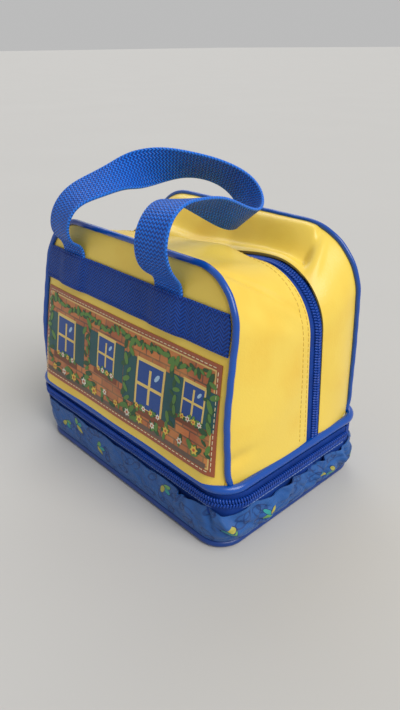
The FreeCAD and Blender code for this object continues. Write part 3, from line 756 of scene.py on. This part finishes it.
# %% small shapes
def small_shape(size, bevel):
    bpy.ops.object.select_all(action="DESELECT")
    bpy.ops.mesh.primitive_cube_add(size=1)
    obj = bpy.context.object
    obj.scale = [s * MM for s in size]
    bpy.ops.object.transform_apply(location=False, rotation=False, scale=True)
    apply_modifier(obj, "BEVEL", width=bevel * MM, segments=1)
    return obj


coil_turn = small_shape((1.45, 3.1, 2.3), 0.5)
stitch_turn = small_shape((2.5, 0.62, 0.5), 0.2)
print("coil turn and stitch ready")

# %% row helpers
def joined(name, shape, copies):
    faces = [list(face.vertices) for face in shape.data.polygons]
    size = len(shape.data.vertices)
    polygons = [[size * i + corner for corner in face] for i in range(len(copies)) for face in faces]
    mesh = bpy.data.meshes.new(name)
    mesh.from_pydata(np.concatenate(copies).tolist(), [], polygons)
    obj = bpy.data.objects.new(name, mesh)
    bpy.context.scene.collection.objects.link(obj)
    return obj


def repeat(name, shape, origin, along, across, out):
    corners = np.array([vertex.co[:] for vertex in shape.data.vertices])
    turns = np.stack([along, across, out], axis=1)
    return joined(name, shape, [spot * MM + corners @ turn for spot, turn in zip(origin, turns)])


def spaced(line, pitch):
    gaps = np.linalg.norm(np.diff(line, axis=0), axis=1)
    run = np.concatenate([[0], np.cumsum(gaps)])
    marks = np.arange(pitch / 2, run[-1], pitch)
    return np.array([np.interp(marks, run, line[:, k]) for k in range(3)]).T


def row_frames(points, toward):
    along = unit(np.gradient(points, axis=0))
    out = unit(toward - along * np.sum(toward * along, axis=1, keepdims=True))
    return along, np.cross(out, along), out


print("row helpers ready")

# %% [markdown]
# The hoop zip is a spiral of plastic sewn to the edge of each tape. A true helix has many faces for a
# thing so small, so each turn is a slanted bar with soft edges. The tapes are narrow grids under it that
# step down where the gusset is sewn over them.

# %% hoop zip coils
COIL_PITCH, COIL_SLANT = 1.9, 0.28
COIL_ASIDE, COIL_SUNK = 1.55, 0.9


def hoop_coil(name, facing, start, node):
    line = zip_line(np.linspace(0.0, 1.0, 900)).T
    line = line[(line[:, 2] > SEAM_Z + start) | (line[:, 0] > 0)]
    points = spaced(line, COIL_PITCH)
    toward = points - np.array([0.0, ZIP_Y, 105.0])
    along, _, out = row_frames(points, toward * np.array([1.0, 0.0, 1.0]))
    across = np.tile((0.0, 1.0, 0.0), (len(points), 1))
    slant = unit(along + COIL_SLANT * facing * across)
    points = points + facing * COIL_ASIDE * across - COIL_SUNK * out
    obj = repeat(name, coil_turn, points, slant, np.cross(out, slant), out)
    finish_piece(obj, [zip_coil], "zip_coil", weld=True)
    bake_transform(obj)
    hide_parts(node)


hoop_coil("front_coil", -1, 37, "top_coil_front")
hoop_coil("back_coil", 1, 11.5, "top_coil_back")

# %% hoop zip tapes
TAPE_NEAR, TAPE_WIDE = 0.6, 11.0
TAPE_STEP, TAPE_SUNK, TAPE_TUCKED = 7, 1.3, 2.8


def hoop_tape(name, facing, node):
    def place(t, w):
        t = 0.014 + t * 0.982
        reach = facing * (TAPE_NEAR + TAPE_WIDE * (w if facing > 0 else 1 - w))
        sunk = np.where(np.abs(reach) > TAPE_STEP, TAPE_TUCKED, TAPE_SUNK)
        return zip_line(t) + np.array([0 * t, reach, 0 * t]) - hoop_out(t) * sunk

    obj = thicken(cloth_grid(name, 200, 6, place, 420, 11), 0.6, zip_tape, "zip_tape")
    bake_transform(obj)
    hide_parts(node)


hoop_tape("front_tape", -1, "top_tape_front")
hoop_tape("back_tape", 1, "top_tape_back")

# %% [markdown]
# The band across each panel is a wide webbing with a chevron weave. It lies on the vinyl and rises a
# little where the ends of a handle go under it. A flat strip with Shrinkwrap would follow the panel too,
# but would not know about the ends below.

# %% bands
BAND_FOOT, BAND_TALL, BAND_INSET, BAND_OUT = 82.4, 24.6, 2.6, 1.5
TAIL_RISE, TAIL_HALF = 1.8, 15.0
FRONT_ROOTS, BACK_ROOTS = (-61, 42), (-52, 52)
FRONT_WEBBING = ("front_band", "front_handle_tail_left", "front_handle_tail_right")
BACK_WEBBING = ("back_band", "back_handle_tail_left", "back_handle_tail_right")


def band_rise(x, roots):
    return TAIL_RISE * sum(np.exp(-((x - root) / TAIL_HALF) ** 6) for root in roots)


def band(name, shape, roots, nodes, body):
    edge = inset(shape, BAND_INSET)
    shares = np.linspace(0, CORNER_SHARE, 200)
    heights = arch(edge, shares)[1]

    def place(u, k):
        v = BAND_FOOT + BAND_TALL * k
        half = -arch(edge, np.interp(v, heights, shares))[0]
        x = shape["facing"] * (1 - 2 * u) * half
        rim = np.minimum(k, 1 - k) * BAND_TALL
        crown = BAND_OUT + band_rise(x, roots) - 0.4 * np.exp(-rim / 0.5)
        return panel_point(shape, x, v, crown + 0.12 * np.sin(x / 6.0 + 3 * k))

    obj = thicken(cloth_grid(name, 160, 20, place, 195, BAND_TALL), 1.3, herringbone, "blue_webbing")
    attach(obj, body)
    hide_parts(*nodes)


band("front_strip", FRONT, FRONT_ROOTS, FRONT_WEBBING, "front_half")
band("back_strip", BACK, BACK_ROOTS, BACK_WEBBING, "back_half")

# %% [markdown]
# A handle is one length of webbing. Its middle line and its slant are given at stations and joined by a
# smooth curve; the ribbon grid is then thickened. The ends bend between the panel and the handle. A
# Bezier curve with a flat profile could do the same, but its twist is hard to hold by numbers.

# %% smooth curve
def smooth_curve(stations, count):
    rows = np.array(stations, float)
    gaps = np.linalg.norm(np.diff(rows[:, :3], axis=0), axis=1)
    run = np.concatenate([[0], np.cumsum(gaps)])
    size = len(rows)
    matrix, right = np.eye(size), np.zeros_like(rows)
    for i in range(1, size - 1):
        matrix[i, i - 1:i + 2] = (gaps[i - 1], 2 * (gaps[i - 1] + gaps[i]), gaps[i])
        right[i] = 6 * ((rows[i + 1] - rows[i]) / gaps[i] - (rows[i] - rows[i - 1]) / gaps[i - 1])
    curve = np.linalg.solve(matrix, right)
    s = np.linspace(0, run[-1], count + 1)
    k = np.clip(np.searchsorted(run, s) - 1, 0, size - 2)
    h, a, b = gaps[k][:, None], (run[k + 1] - s)[:, None], (s - run[k])[:, None]
    cubic = (curve[k] * a ** 3 + curve[k + 1] * b ** 3) / (6 * h)
    line = (rows[k] / h - curve[k] * h / 6) * a + (rows[k + 1] / h - curve[k + 1] * h / 6) * b
    return cubic + line, run[-1]


print("smooth curve ready")

# %% ribbon helper
STRAP_WIDE = 25
ROUND_EDGE = {"width": 0.5 * MM, "segments": 2, "limit_method": "ANGLE", "angle_limit": math.radians(50)}


def ribbon(name, stations, thick, count):
    points, length = smooth_curve(stations, count)
    centre, across = points[:, :3], unit(points[:, 3:6])

    def place(u, v):
        i = np.rint(u * count).astype(int)
        return (centre[i] + across[i] * ((v - 0.5) * STRAP_WIDE)[:, None]).T

    obj = cloth_grid(name, count, 18, place, length, STRAP_WIDE)
    apply_modifier(obj, "SOLIDIFY", thickness=thick * MM, offset=0)
    apply_modifier(obj, "BEVEL", **ROUND_EDGE)
    return finish_piece(obj, [webbing], "blue_webbing", angle=60)


print("ribbon helper ready")

# %% front handle
def root_station(shape, x, v, out, slant):
    place = panel_point(shape, np.float64(x), np.float64(v), out)
    return (*(float(part) for part in place), *slant)


def front_root(x, v, slant):
    return root_station(FRONT, x, v, 0.9, (slant, 0, 0))


FRONT_STRAP = [
    front_root(42, 98, 1), front_root(42, 106, 1), (42, -54.0, 161, 1, 0, 0), (44, -60, 167, 1, 0.1, 0),
    (46, -67, 176, 1, 0.15, 0), (47, -69, 189, 1, 0.1, 0), (46, -63, 201, 1, 0.1, 0.1),
    (43, -50, 207, 1, 0.15, 0.1), (41, -36, 206, 1, 0.15, 0.2), (41, -16, 199, 0.85, 0.2, 0.5),
    (41, 6, 188, 0.75, 0.25, 0.6), (37, 21, 185, 0.7, 0.25, 0.65), (28, 33, 190, 0.6, 0.15, 0.8),
    (15, 37, 199, 0.6, -0.1, 0.8), (1, 32, 207, 0.55, -0.35, 0.75), (-18, 14, 213, 0.5, -0.3, 0.8),
    (-31, -10, 212, -0.2, -0.05, 1), (-36, -27, 209, -0.8, 0.1, 0.6), (-41, -44, 204, -0.9, 0.2, 0.4),
    (-47, -59, 197, -0.9, 0.25, 0.3), (-53, -66, 183, -1, 0.15, 0.3), (-58, -62, 169, -1, 0, 0.15),
    (-61, -54.0, 161, -1, 0, 0), front_root(-61, 106, -1), front_root(-61, 98, -1),
]
front_strap = ribbon("front_strap", FRONT_STRAP, 1.8, 320)
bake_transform(front_strap)
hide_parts("front_handle")

# %% back handle
HANG_X, HANG_V, HANG_OUT = 52, 58, 7.6
LOOP_TALL, LOOP_OUT, LOOP_STEPS = 50, 9.4, 6
HANG = (104, 1.0), (110, 1.3), (113.5, 3.0), (110, 4.8), (96, 5.4), (78, 6.4), (HANG_V, HANG_OUT)


def back_stations():
    rows = [(-HANG_X, v, out, -1, 0) for v, out in HANG]
    for step in range(1, LOOP_STEPS):
        angle = math.pi * step / LOOP_STEPS
        c, s = math.cos(angle), math.sin(angle)
        rows.append((-HANG_X * c, HANG_V - LOOP_TALL * s, HANG_OUT + LOOP_OUT * s, -c, s))
    rows += [(HANG_X, v, out, 1, 0) for v, out in reversed(HANG)]
    return [root_station(BACK, x, v, out, (flat, lift, 0.0)) for x, v, out, flat, lift in rows]


back_strap = ribbon("back_strap", back_stations(), 1.6, 260)
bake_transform(back_strap)
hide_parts("back_handle")

# %% [markdown]
# The picture patch is a sheet of printed vinyl sewn to the front panel. Its windows and plants are thin
# shapes laid over the brick print. They could be painted as an image; shapes stay sharp close up and
# need no file. Each shape is modelled flat, then copied onto the panel's formula.

# %% picture patch
PATCH_FOOT, PATCH_HALF, PATCH_TAPER = 5.0, 97.0, 4.0


def patch_place(u, k):
    v = PATCH_FOOT + PATCH_TALL * k
    x = (2 * u - 1) * (PATCH_HALF - PATCH_TAPER * k)
    return panel_point(FRONT, x, v, 0.55)


picture = cloth_grid("picture", 120, 50, patch_place, PATCH_WIDE, PATCH_TALL)
thicken(picture, 0.5, patch_print, "printed_vinyl")
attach(picture, "front_half")
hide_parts("picture_patch")

# %% flat shapes
def disc(points, stretch=(1.0, 1.0), wave=0.0):
    bpy.ops.object.select_all(action="DESELECT")
    bpy.ops.mesh.primitive_circle_add(vertices=points, radius=MM, fill_type="NGON")
    obj = bpy.context.object
    for i, vertex in enumerate(obj.data.vertices):
        grow = 1 - wave * (i % 2)
        vertex.co.x *= stretch[0] * grow
        vertex.co.y *= stretch[1] * grow
    return obj


def tile(wide, tall):
    bpy.ops.object.select_all(action="DESELECT")
    bpy.ops.mesh.primitive_grid_add(x_subdivisions=6, y_subdivisions=6, size=2 * MM)
    obj = bpy.context.object
    obj.scale = (wide, tall, 1)
    bpy.ops.object.transform_apply(location=False, rotation=False, scale=True)
    return obj


PANE_TALL = 1.3
leaf, dot, flower = disc(8, (2.6, 1.15)), disc(16), disc(12, wave=0.38)
square, shutter = tile(1.0, PANE_TALL), tile(0.5, PANE_TALL)
strip, bar, stone = tile(1.0, 0.16), tile(1.0, 0.09), tile(0.8, 0.22)
print("flat shapes for the picture ready")

# %% picture windows
WINDOWS = (-66, 42, 11.0), (-14, 46, 9.0), (34, 40, 12.0), (74, 46, 8.5)
CREAM, SKY, GLINT = (0.84, 0.60, 0.17), (0.008, 0.065, 0.30), (0.40, 0.60, 0.80)
TEAL, WOOD = (0.010, 0.09, 0.10), (0.22, 0.06, 0.02)


def lay(name, shape, places, colour, lift):
    corners = np.array([vertex.co[:2] for vertex in shape.data.vertices])
    copies = []
    for x, v, turn, size in places:
        c, s = math.cos(turn) * size / MM, math.sin(turn) * size / MM
        spots = panel_point(FRONT, x + corners @ (c, -s), v + corners @ (s, c), lift)
        copies.append(np.array(spots).T * MM)
    ink = vinyl(name + "_ink", colour, tuple(0.7 * part for part in colour), 0.4, 0.2)
    obj = thicken(joined(name, shape, copies), 0.08, ink, "printed_vinyl")
    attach(obj, "front_half")


glints = [(x + 0.55 * size, v + 0.75 * size, 0.9, 0.11 * size) for x, v, size in WINDOWS]
bars = [(x, v, turn, size) for x, v, size in WINDOWS for turn in (0, math.pi / 2)]
doors = [(x + side * size * 1.72, v, 0, size + 1.0) for x, v, size in WINDOWS for side in (-1, 1)]
sills = [(x, v - PANE_TALL * size - 3.4, 0, size + 5.0) for x, v, size in WINDOWS]
lay("picture_frames", square, [(x, v, 0, size + 1.8) for x, v, size in WINDOWS], CREAM, 0.62)
lay("picture_panes", square, [(x, v, 0, size) for x, v, size in WINDOWS], SKY, 0.66)
lay("picture_glints", leaf, glints, GLINT, 0.69)
lay("picture_bars", bar, bars, CREAM, 0.72)
lay("picture_shutters", shutter, doors, TEAL, 0.64)
lay("picture_sills", strip, sills, WOOD, 0.70)

# %% picture leaves
rng = np.random.default_rng(7)


def any_turn():
    return rng.uniform(0, FULL_TURN)


def vine_leaf(x):
    return x, 70 - 3.0 * abs(math.sin(x / 13)) - rng.uniform(0, 3), any_turn(), rng.uniform(0.9, 1.6)


def hanging_leaf(x, v):
    return x + rng.uniform(-4, 4), v, any_turn(), rng.uniform(1.0, 1.8)


def box_leaf(x, v, size):
    along = x + rng.uniform(-1.2, 1.2) * size
    return along, v - PANE_TALL * size - 1.5 + rng.uniform(-1, 2.5), any_turn(), rng.uniform(0.8, 1.3)


def bush_leaf():
    return rng.uniform(-86, 86), rng.uniform(12, 19), any_turn(), rng.uniform(0.9, 1.9)


lay("picture_path", stone, [(x, 10.5, 0, 8.0) for x in np.arange(-84, 90, 12.0)], (0.16, 0.10, 0.07), 0.60)
greens = [vine_leaf(x) for x in np.linspace(-86, 84, 64)]
greens += [hanging_leaf(x, v) for x in (-38, 11, 56, -88, 87) for v in np.linspace(18, 66, 15)]
greens += [box_leaf(*window) for window in WINDOWS for _ in range(12)]
greens += [bush_leaf() for _ in range(60)]
lay("picture_leaves_dark", leaf, greens[::2], (0.022, 0.095, 0.03), 0.76)
lay("picture_leaves_light", leaf, greens[1::2], (0.11, 0.25, 0.045), 0.80)

# %% picture flowers
BOX_STEPS = (-0.9, -0.3, 0.3, 0.9)


def box_bloom(x, v, size, step):
    return x + step * size, v - PANE_TALL * size - 0.6, any_turn(), 2.2


def bed_bloom(x):
    return x, rng.uniform(14, 19), any_turn(), rng.uniform(2.4, 3.6)


blooms = [box_bloom(*window, step) for window in WINDOWS for step in BOX_STEPS]
blooms += [bed_bloom(x) for x in np.linspace(-80, 80, 13)]
hearts = [(x, v, 0, 0.32 * size) for x, v, _, size in blooms]
lay("picture_blooms", flower, blooms[::2], (0.88, 0.58, 0.08), 0.84)
lay("picture_blooms_pale", flower, blooms[1::2], (0.86, 0.80, 0.66), 0.84)
lay("picture_hearts", dot, hearts, (0.60, 0.12, 0.03), 0.88)

# %% [markdown]
# The lower wall is cloth gathered between the base and the waist zip. Slack is pushed outward and broken
# into folds that are deepest at the right. A cloth simulation would give finer folds; a sum of waves
# keeps the hem close to its seam. The ring below is a rectangle with round corners, run once around from
# the middle of the back; the waist zip, its hinge and the hem use it too.

# %% ring formula
def ring(wide, deep, radius, s):
    quarter = np.linspace(0, math.pi / 2, 24)
    rows = [(0.0, deep / 2)]
    for sx, sy, first in ((-1, 1, 90), (-1, -1, 180), (1, -1, 270), (1, 1, 0)):
        turn = math.radians(first) + quarter
        x = sx * (wide / 2 - radius) + radius * np.cos(turn)
        y = sy * (deep / 2 - radius) + radius * np.sin(turn)
        rows += list(zip(x, y))
    rows = np.array(rows + [(0.0, deep / 2)])
    run = np.concatenate([[0], np.cumsum(np.linalg.norm(np.diff(rows, axis=0), axis=1))])
    run = run / run[-1]
    return np.interp(s, run, rows[:, 0]), np.interp(s, run, rows[:, 1])


def ring_out(wide, deep, radius, s):
    ax, ay = ring(wide, deep, radius, np.clip(s - 0.004, 0, 1))
    bx, by = ring(wide, deep, radius, np.clip(s + 0.004, 0, 1))
    length = np.hypot(bx - ax, by - ay)
    return (by - ay) / length, -(bx - ax) / length


print("ring formula ready")

# %% gathers and creases
GATHER_RUNS = (
    (0.60, 0.87, 15, 5.2), (0.14, 0.38, 9, 2.2), (0.38, 0.60, 9, 1.0),
    (0.88, 1.0, 4, 1.0), (0.0, 0.13, 4, 1.0),
)
CREASES = (0.5, 15.0, 0.4, 1.5), (-0.7, 19.0, 2.0, 1.4), (1.2, 12.0, 1.1, 0.9), (-0.2, 26.0, 3.0, 1.3)


def make_gathers(seed=11):
    random = np.random.default_rng(seed)
    rows = []
    for low, high, count, size in GATHER_RUNS:
        for middle in np.linspace(low, high, count):
            place = middle + random.uniform(-0.008, 0.008)
            rise = size * random.uniform(0.4, 1.0) * random.choice((1, 1, -0.6))
            width, lean = random.uniform(2.2, 5.0), random.uniform(-16, 16)
            rows.append((place, rise, width, lean, random.uniform(0.55, 0.9)))
    return rows


def crumple(x, z):
    total = 0.0
    for turn, wave, shift, size in CREASES:
        across = x * math.cos(turn) + z * math.sin(turn) * 1.6
        bend = 0.9 * np.sin(x / 21 + shift) + 0.6 * np.sin(z / 5 + x / 13)
        total = total + size * (1 - np.abs(np.sin(math.pi * across / wave + shift + bend))) ** 2.5
    return total


GATHERS = make_gathers()
print("gathers:", len(GATHERS), "creases:", len(CREASES))

# %% gathered wall
WALL_TOP, WALL_FOOT = (222.0, 142.0, 23.0), (203.0, 142.0, 18.0)
FOOT_SHIFT = 4.0
WALL_RUN, WALL_LOW, WALL_TALL = 690, 5.0, 24.2


def wall_place(s, k):
    nx, ny = ring_out(*WALL_TOP, s)
    left, right = ease((-nx - 0.2) / 0.6), ease((nx + 0.1) / 0.8)
    low_x, low_y = ring(*WALL_FOOT, s)
    top_x, top_y = ring(*WALL_TOP, s)
    share = left * ease((k - 0.45) / 0.3) + (1 - left) * k ** 0.75
    x = low_x + FOOT_SHIFT + (top_x - low_x - FOOT_SHIFT) * share
    y = low_y + (top_y - low_y) * share
    out = (1.6 + 2.8 * right - 1.0 * left) * np.sin(math.pi * k ** 0.75) ** 0.8
    for place, size, width, lean, peak in GATHERS:
        near = bell(WALL_RUN * (s - place) + lean * (k - 0.6), width)
        out = out + size * near * bell(k - peak, 0.36) * np.clip(5 * k, 0, 1)
    crushed = 0.35 + 0.55 * right + 0.4 * left
    out = out - crumple(WALL_RUN * s, 26 * k) * crushed * np.sin(math.pi * k) ** 0.6
    sag = (0.5 + 1.2 * right) * np.sin(2 * math.pi * 19 * s + 2) * k ** 2
    return x + nx * out, y + ny * out, WALL_LOW + WALL_TALL * k + sag


wall = cloth_grid("gathered_wall", 700, 30, wall_place, 720, 34)
thicken(wall, 0.9, nylon, "blue_nylon", weld=True, angle=70)
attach(wall, "base")
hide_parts("base_wall")

# %% [markdown]
# The waist zip runs around the bag. Its two rows of coil belong to the lower and the upper compartment,
# and the same turn as on the hoop is copied along the ring. At the back, where the zip ends, a strip of
# tape joins the compartments as a hinge.

# %% waist coils
WAIST = (222.0, 142.0, 22.0)
RIGHT_END = 50.0


def level_frames(points):
    along = unit(np.gradient(points, axis=0))
    out = unit(np.array([along[:, 1], -along[:, 0], 0 * along[:, 0]]).T)
    return along, out


def waist_coil(name, z, slant, left_end, body, node):
    x, y = ring(*WAIST, np.linspace(0, 1, 1400))
    line = np.array([x, y, np.full_like(x, z)]).T
    points = spaced(line[y < np.where(x > 0, RIGHT_END, left_end)], COIL_PITCH)
    along, out = level_frames(points)
    along = unit(along + np.array([0, 0, slant]))
    obj = repeat(name, coil_turn, points - 0.1 * out, along, np.cross(out, along), out)
    finish_piece(obj, [zip_coil], "zip_coil", weld=True)
    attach(obj, body)
    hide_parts(node)


waist_coil("lower_coil", 35.4, -COIL_SLANT, 35.5, "base", "waist_coil_lower")
waist_coil("upper_coil", 38.6, COIL_SLANT, 25.0, "upper", "waist_coil_upper")

# %% hinge strip
HINGE_RING, HINGE_SHARE = (218.6, 138.6, 20.3), 0.177
HINGE_LOW, HINGE_TALL, HINGE_NEAR = 25.0, 16.8, 51.2


def hinge_place(u, k):
    s = np.where(u < 0.5, HINGE_SHARE * (1 - 2 * u), 1 - HINGE_SHARE * (2 * u - 1))
    x, y = ring(*HINGE_RING, np.clip(s, 0, 1))
    return x, np.maximum(y, HINGE_NEAR), HINGE_LOW + HINGE_TALL * (1 - k)


hinge = cloth_grid("hinge_strip", 120, 12, hinge_place, 220, 17)
thicken(hinge, 1.0, zip_tape, "zip_tape")
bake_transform(hinge)
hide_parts("waist_hinge_strip")

# %% [markdown]
# Stitches hold the pieces together: around the picture, along the band, in the hem of the lower wall, and
# in two rows beside the hoop zip. A dashed line in the material would be lighter; real stitches catch the
# light. Each row follows the formula of the cloth that it is sewn to.

# %% stitch helpers
TO_FRONT, TO_TOP = (0.0, -1.0, 0.0), (0.0, 0.0, 1.0)
across_panel = np.linspace(-1, 1, 120)


def stitch_row(name, line, toward, thread, slot, pitch=3.6):
    points = spaced(line, pitch)
    along, across, out = row_frames(points, np.tile(toward, (len(points), 1)))
    obj = repeat(name, stitch_turn, points, along, across, out)
    return finish_piece(obj, [thread], slot, weld=True)


def panel_line(x, v, lift):
    return np.array(panel_point(FRONT, x, v + 0 * x, lift)).T


print("stitch helpers ready")

# %% patch stitches
STITCH_LOW, STITCH_HIGH, STITCH_INSET = 7.6, 74.0, 2.6


def patch_reach(v):
    return PATCH_HALF - STITCH_INSET - PATCH_TAPER * (v - PATCH_FOOT) / PATCH_TALL


upward = np.linspace(STITCH_LOW, STITCH_HIGH, 60)
PATCH_ROWS = {
    "low": (across_panel * patch_reach(STITCH_LOW), STITCH_LOW),
    "high": (across_panel * patch_reach(STITCH_HIGH), STITCH_HIGH),
    "left": (-patch_reach(upward), upward),
    "right": (patch_reach(upward), upward),
}
for label, (x, v) in PATCH_ROWS.items():
    row = stitch_row("patch_stitch_" + label, panel_line(x, v, 0.6), TO_FRONT, cream_thread, "yellow_vinyl")
    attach(row, "front_half")

# %% band stitches
for label, v, reach in (("low", 84.4, 96.0), ("high", 105.0, 92.0)):
    x = across_panel * reach
    line = panel_line(x, v, 1.6 + band_rise(x, FRONT_ROOTS))
    row = stitch_row("band_stitch_" + label, line, TO_FRONT, blue_thread, "blue_webbing", 3.0)
    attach(row, "front_half")

# %% hem stitches
HEM, HEM_Z, HEM_SUNK = (223.0, 143.0, 23.5), 30.6, 2.2
x, y = ring(*HEM, np.linspace(0.2, 0.86, 700))
hem_line = np.array([x, y, np.full_like(x, HEM_Z)]).T[y < np.where(x > 0, 50, 35)]
hem_points = spaced(hem_line, 2.9)
along, out = level_frames(hem_points)
hem_row = repeat("hem_stitch", stitch_turn, hem_points - HEM_SUNK * out, along, np.cross(out, along), out)
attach(finish_piece(hem_row, [pale_thread], "blue_nylon", weld=True), "base")

# %% zip stitches
GUSSET_WIDE = 78.0
t = np.linspace(0.03, 0.985, 500)
for label, back in (("near", 2.6), ("far", 9.0)):
    line = gusset_point(FRONT, t, np.full_like(t, 1 - back / GUSSET_WIDE), -0.05).T
    row = stitch_row("zip_stitch_" + label, line, TO_TOP, yellow_thread, "yellow_vinyl")
    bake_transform(row)

# %% [markdown]
# The CAD pieces that stay, such as the waist tapes, base, divider and sliders, are rigid or plain enough
# to keep their own shape and only get materials. The shapes that were modelled to be copied are removed.

# %% CAD materials
LOOKS = {
    "base_panel": base_cloth, "base_board": board, "base_piping": base_blue, "waist_piping": piping_blue,
    "waist_tape_lower": zip_tape, "waist_tape_upper": zip_tape, "divider_underside": base_cloth,
    "divider_board": board, "divider_liner": lining, "top_slider": hardware, "top_pull": hardware,
    "waist_slider": hardware, "waist_pull": hardware,
}
for node, mat in LOOKS.items():
    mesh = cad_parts[node].data
    mesh.materials.clear()
    mesh.materials.append(mat)
for shape in (coil_turn, stitch_turn, leaf, dot, flower, square, shutter, strip, bar, stone):
    bpy.data.objects.remove(shape)
print("CAD materials set:", len(LOOKS))

# %% [markdown]
# The bag stands on a pale floor in soft light, as in a bright room with a window on its right. Two suns
# with a wide spread light the whole floor alike; area lamps would fall off across it. The background is a
# plain grey that only the camera and reflections see.

# %% floor
FLOOR = (0.56, 0.545, 0.525)
FLOOR_DARK, FLOOR_LIGHT = (0.545, 0.53, 0.51, 1), (0.57, 0.555, 0.535, 1)


def pale_floor():
    bpy.ops.object.select_all(action="DESELECT")
    bpy.ops.mesh.primitive_plane_add(size=80)
    floor = bpy.context.object
    floor.name = "floor"
    mat, tree, shader = new_material("floor", FLOOR, 0.9)
    tone = mix_colour(tree, noise(tree, object_place(tree), 3.0), FLOOR_DARK, FLOOR_LIGHT)
    tree.links.new(tone, shader.inputs["Base Color"])
    floor.data.materials.append(mat)


pale_floor()
print("floor ready")

# %% light
SUN_SPREAD = math.radians(45)
BAG_MIDDLE = Vector((0, 0, 0.1))


def add_sun(name, place, power, colour):
    lamp = bpy.data.objects.new(name, bpy.data.lights.new(name, "SUN"))
    lamp.data.energy = power
    lamp.data.angle = SUN_SPREAD
    lamp.data.color = colour
    lamp.location = place
    lamp.rotation_euler = (BAG_MIDDLE - Vector(place)).to_track_quat("-Z", "Y").to_euler()
    bpy.context.scene.collection.objects.link(lamp)


def room_light():
    world = bpy.data.worlds.new("room")
    bpy.context.scene.world = world
    world.use_nodes = True
    tree = world.node_tree
    tree.nodes.clear()
    seen = add_node(tree, "ShaderNodeBackground", {"Color": (0.50, 0.50, 0.50, 1), "Strength": 1.0})
    lit = add_node(tree, "ShaderNodeBackground", {"Color": (0.93, 0.96, 1.0, 1), "Strength": 0.36})
    path = add_node(tree, "ShaderNodeLightPath").outputs
    mirrored = math_node(tree, "ADD", path["Is Glossy Ray"], path["Is Transmission Ray"])
    plain_view = math_node(tree, "ADD", path["Is Camera Ray"], mirrored, clamp=True)
    mix = add_node(tree, "ShaderNodeMixShader", {0: plain_view, 1: lit.outputs[0], 2: seen.outputs[0]})
    add_node(tree, "ShaderNodeOutputWorld", {0: mix.outputs[0]})


room_light()
add_sun("window", (0.80, 0.02, 1.0), 2.4, (1.0, 0.99, 0.96))
add_sun("room", (-0.75, 0.55, 0.95), 0.75, (0.95, 0.98, 1.0))
print("light ready")
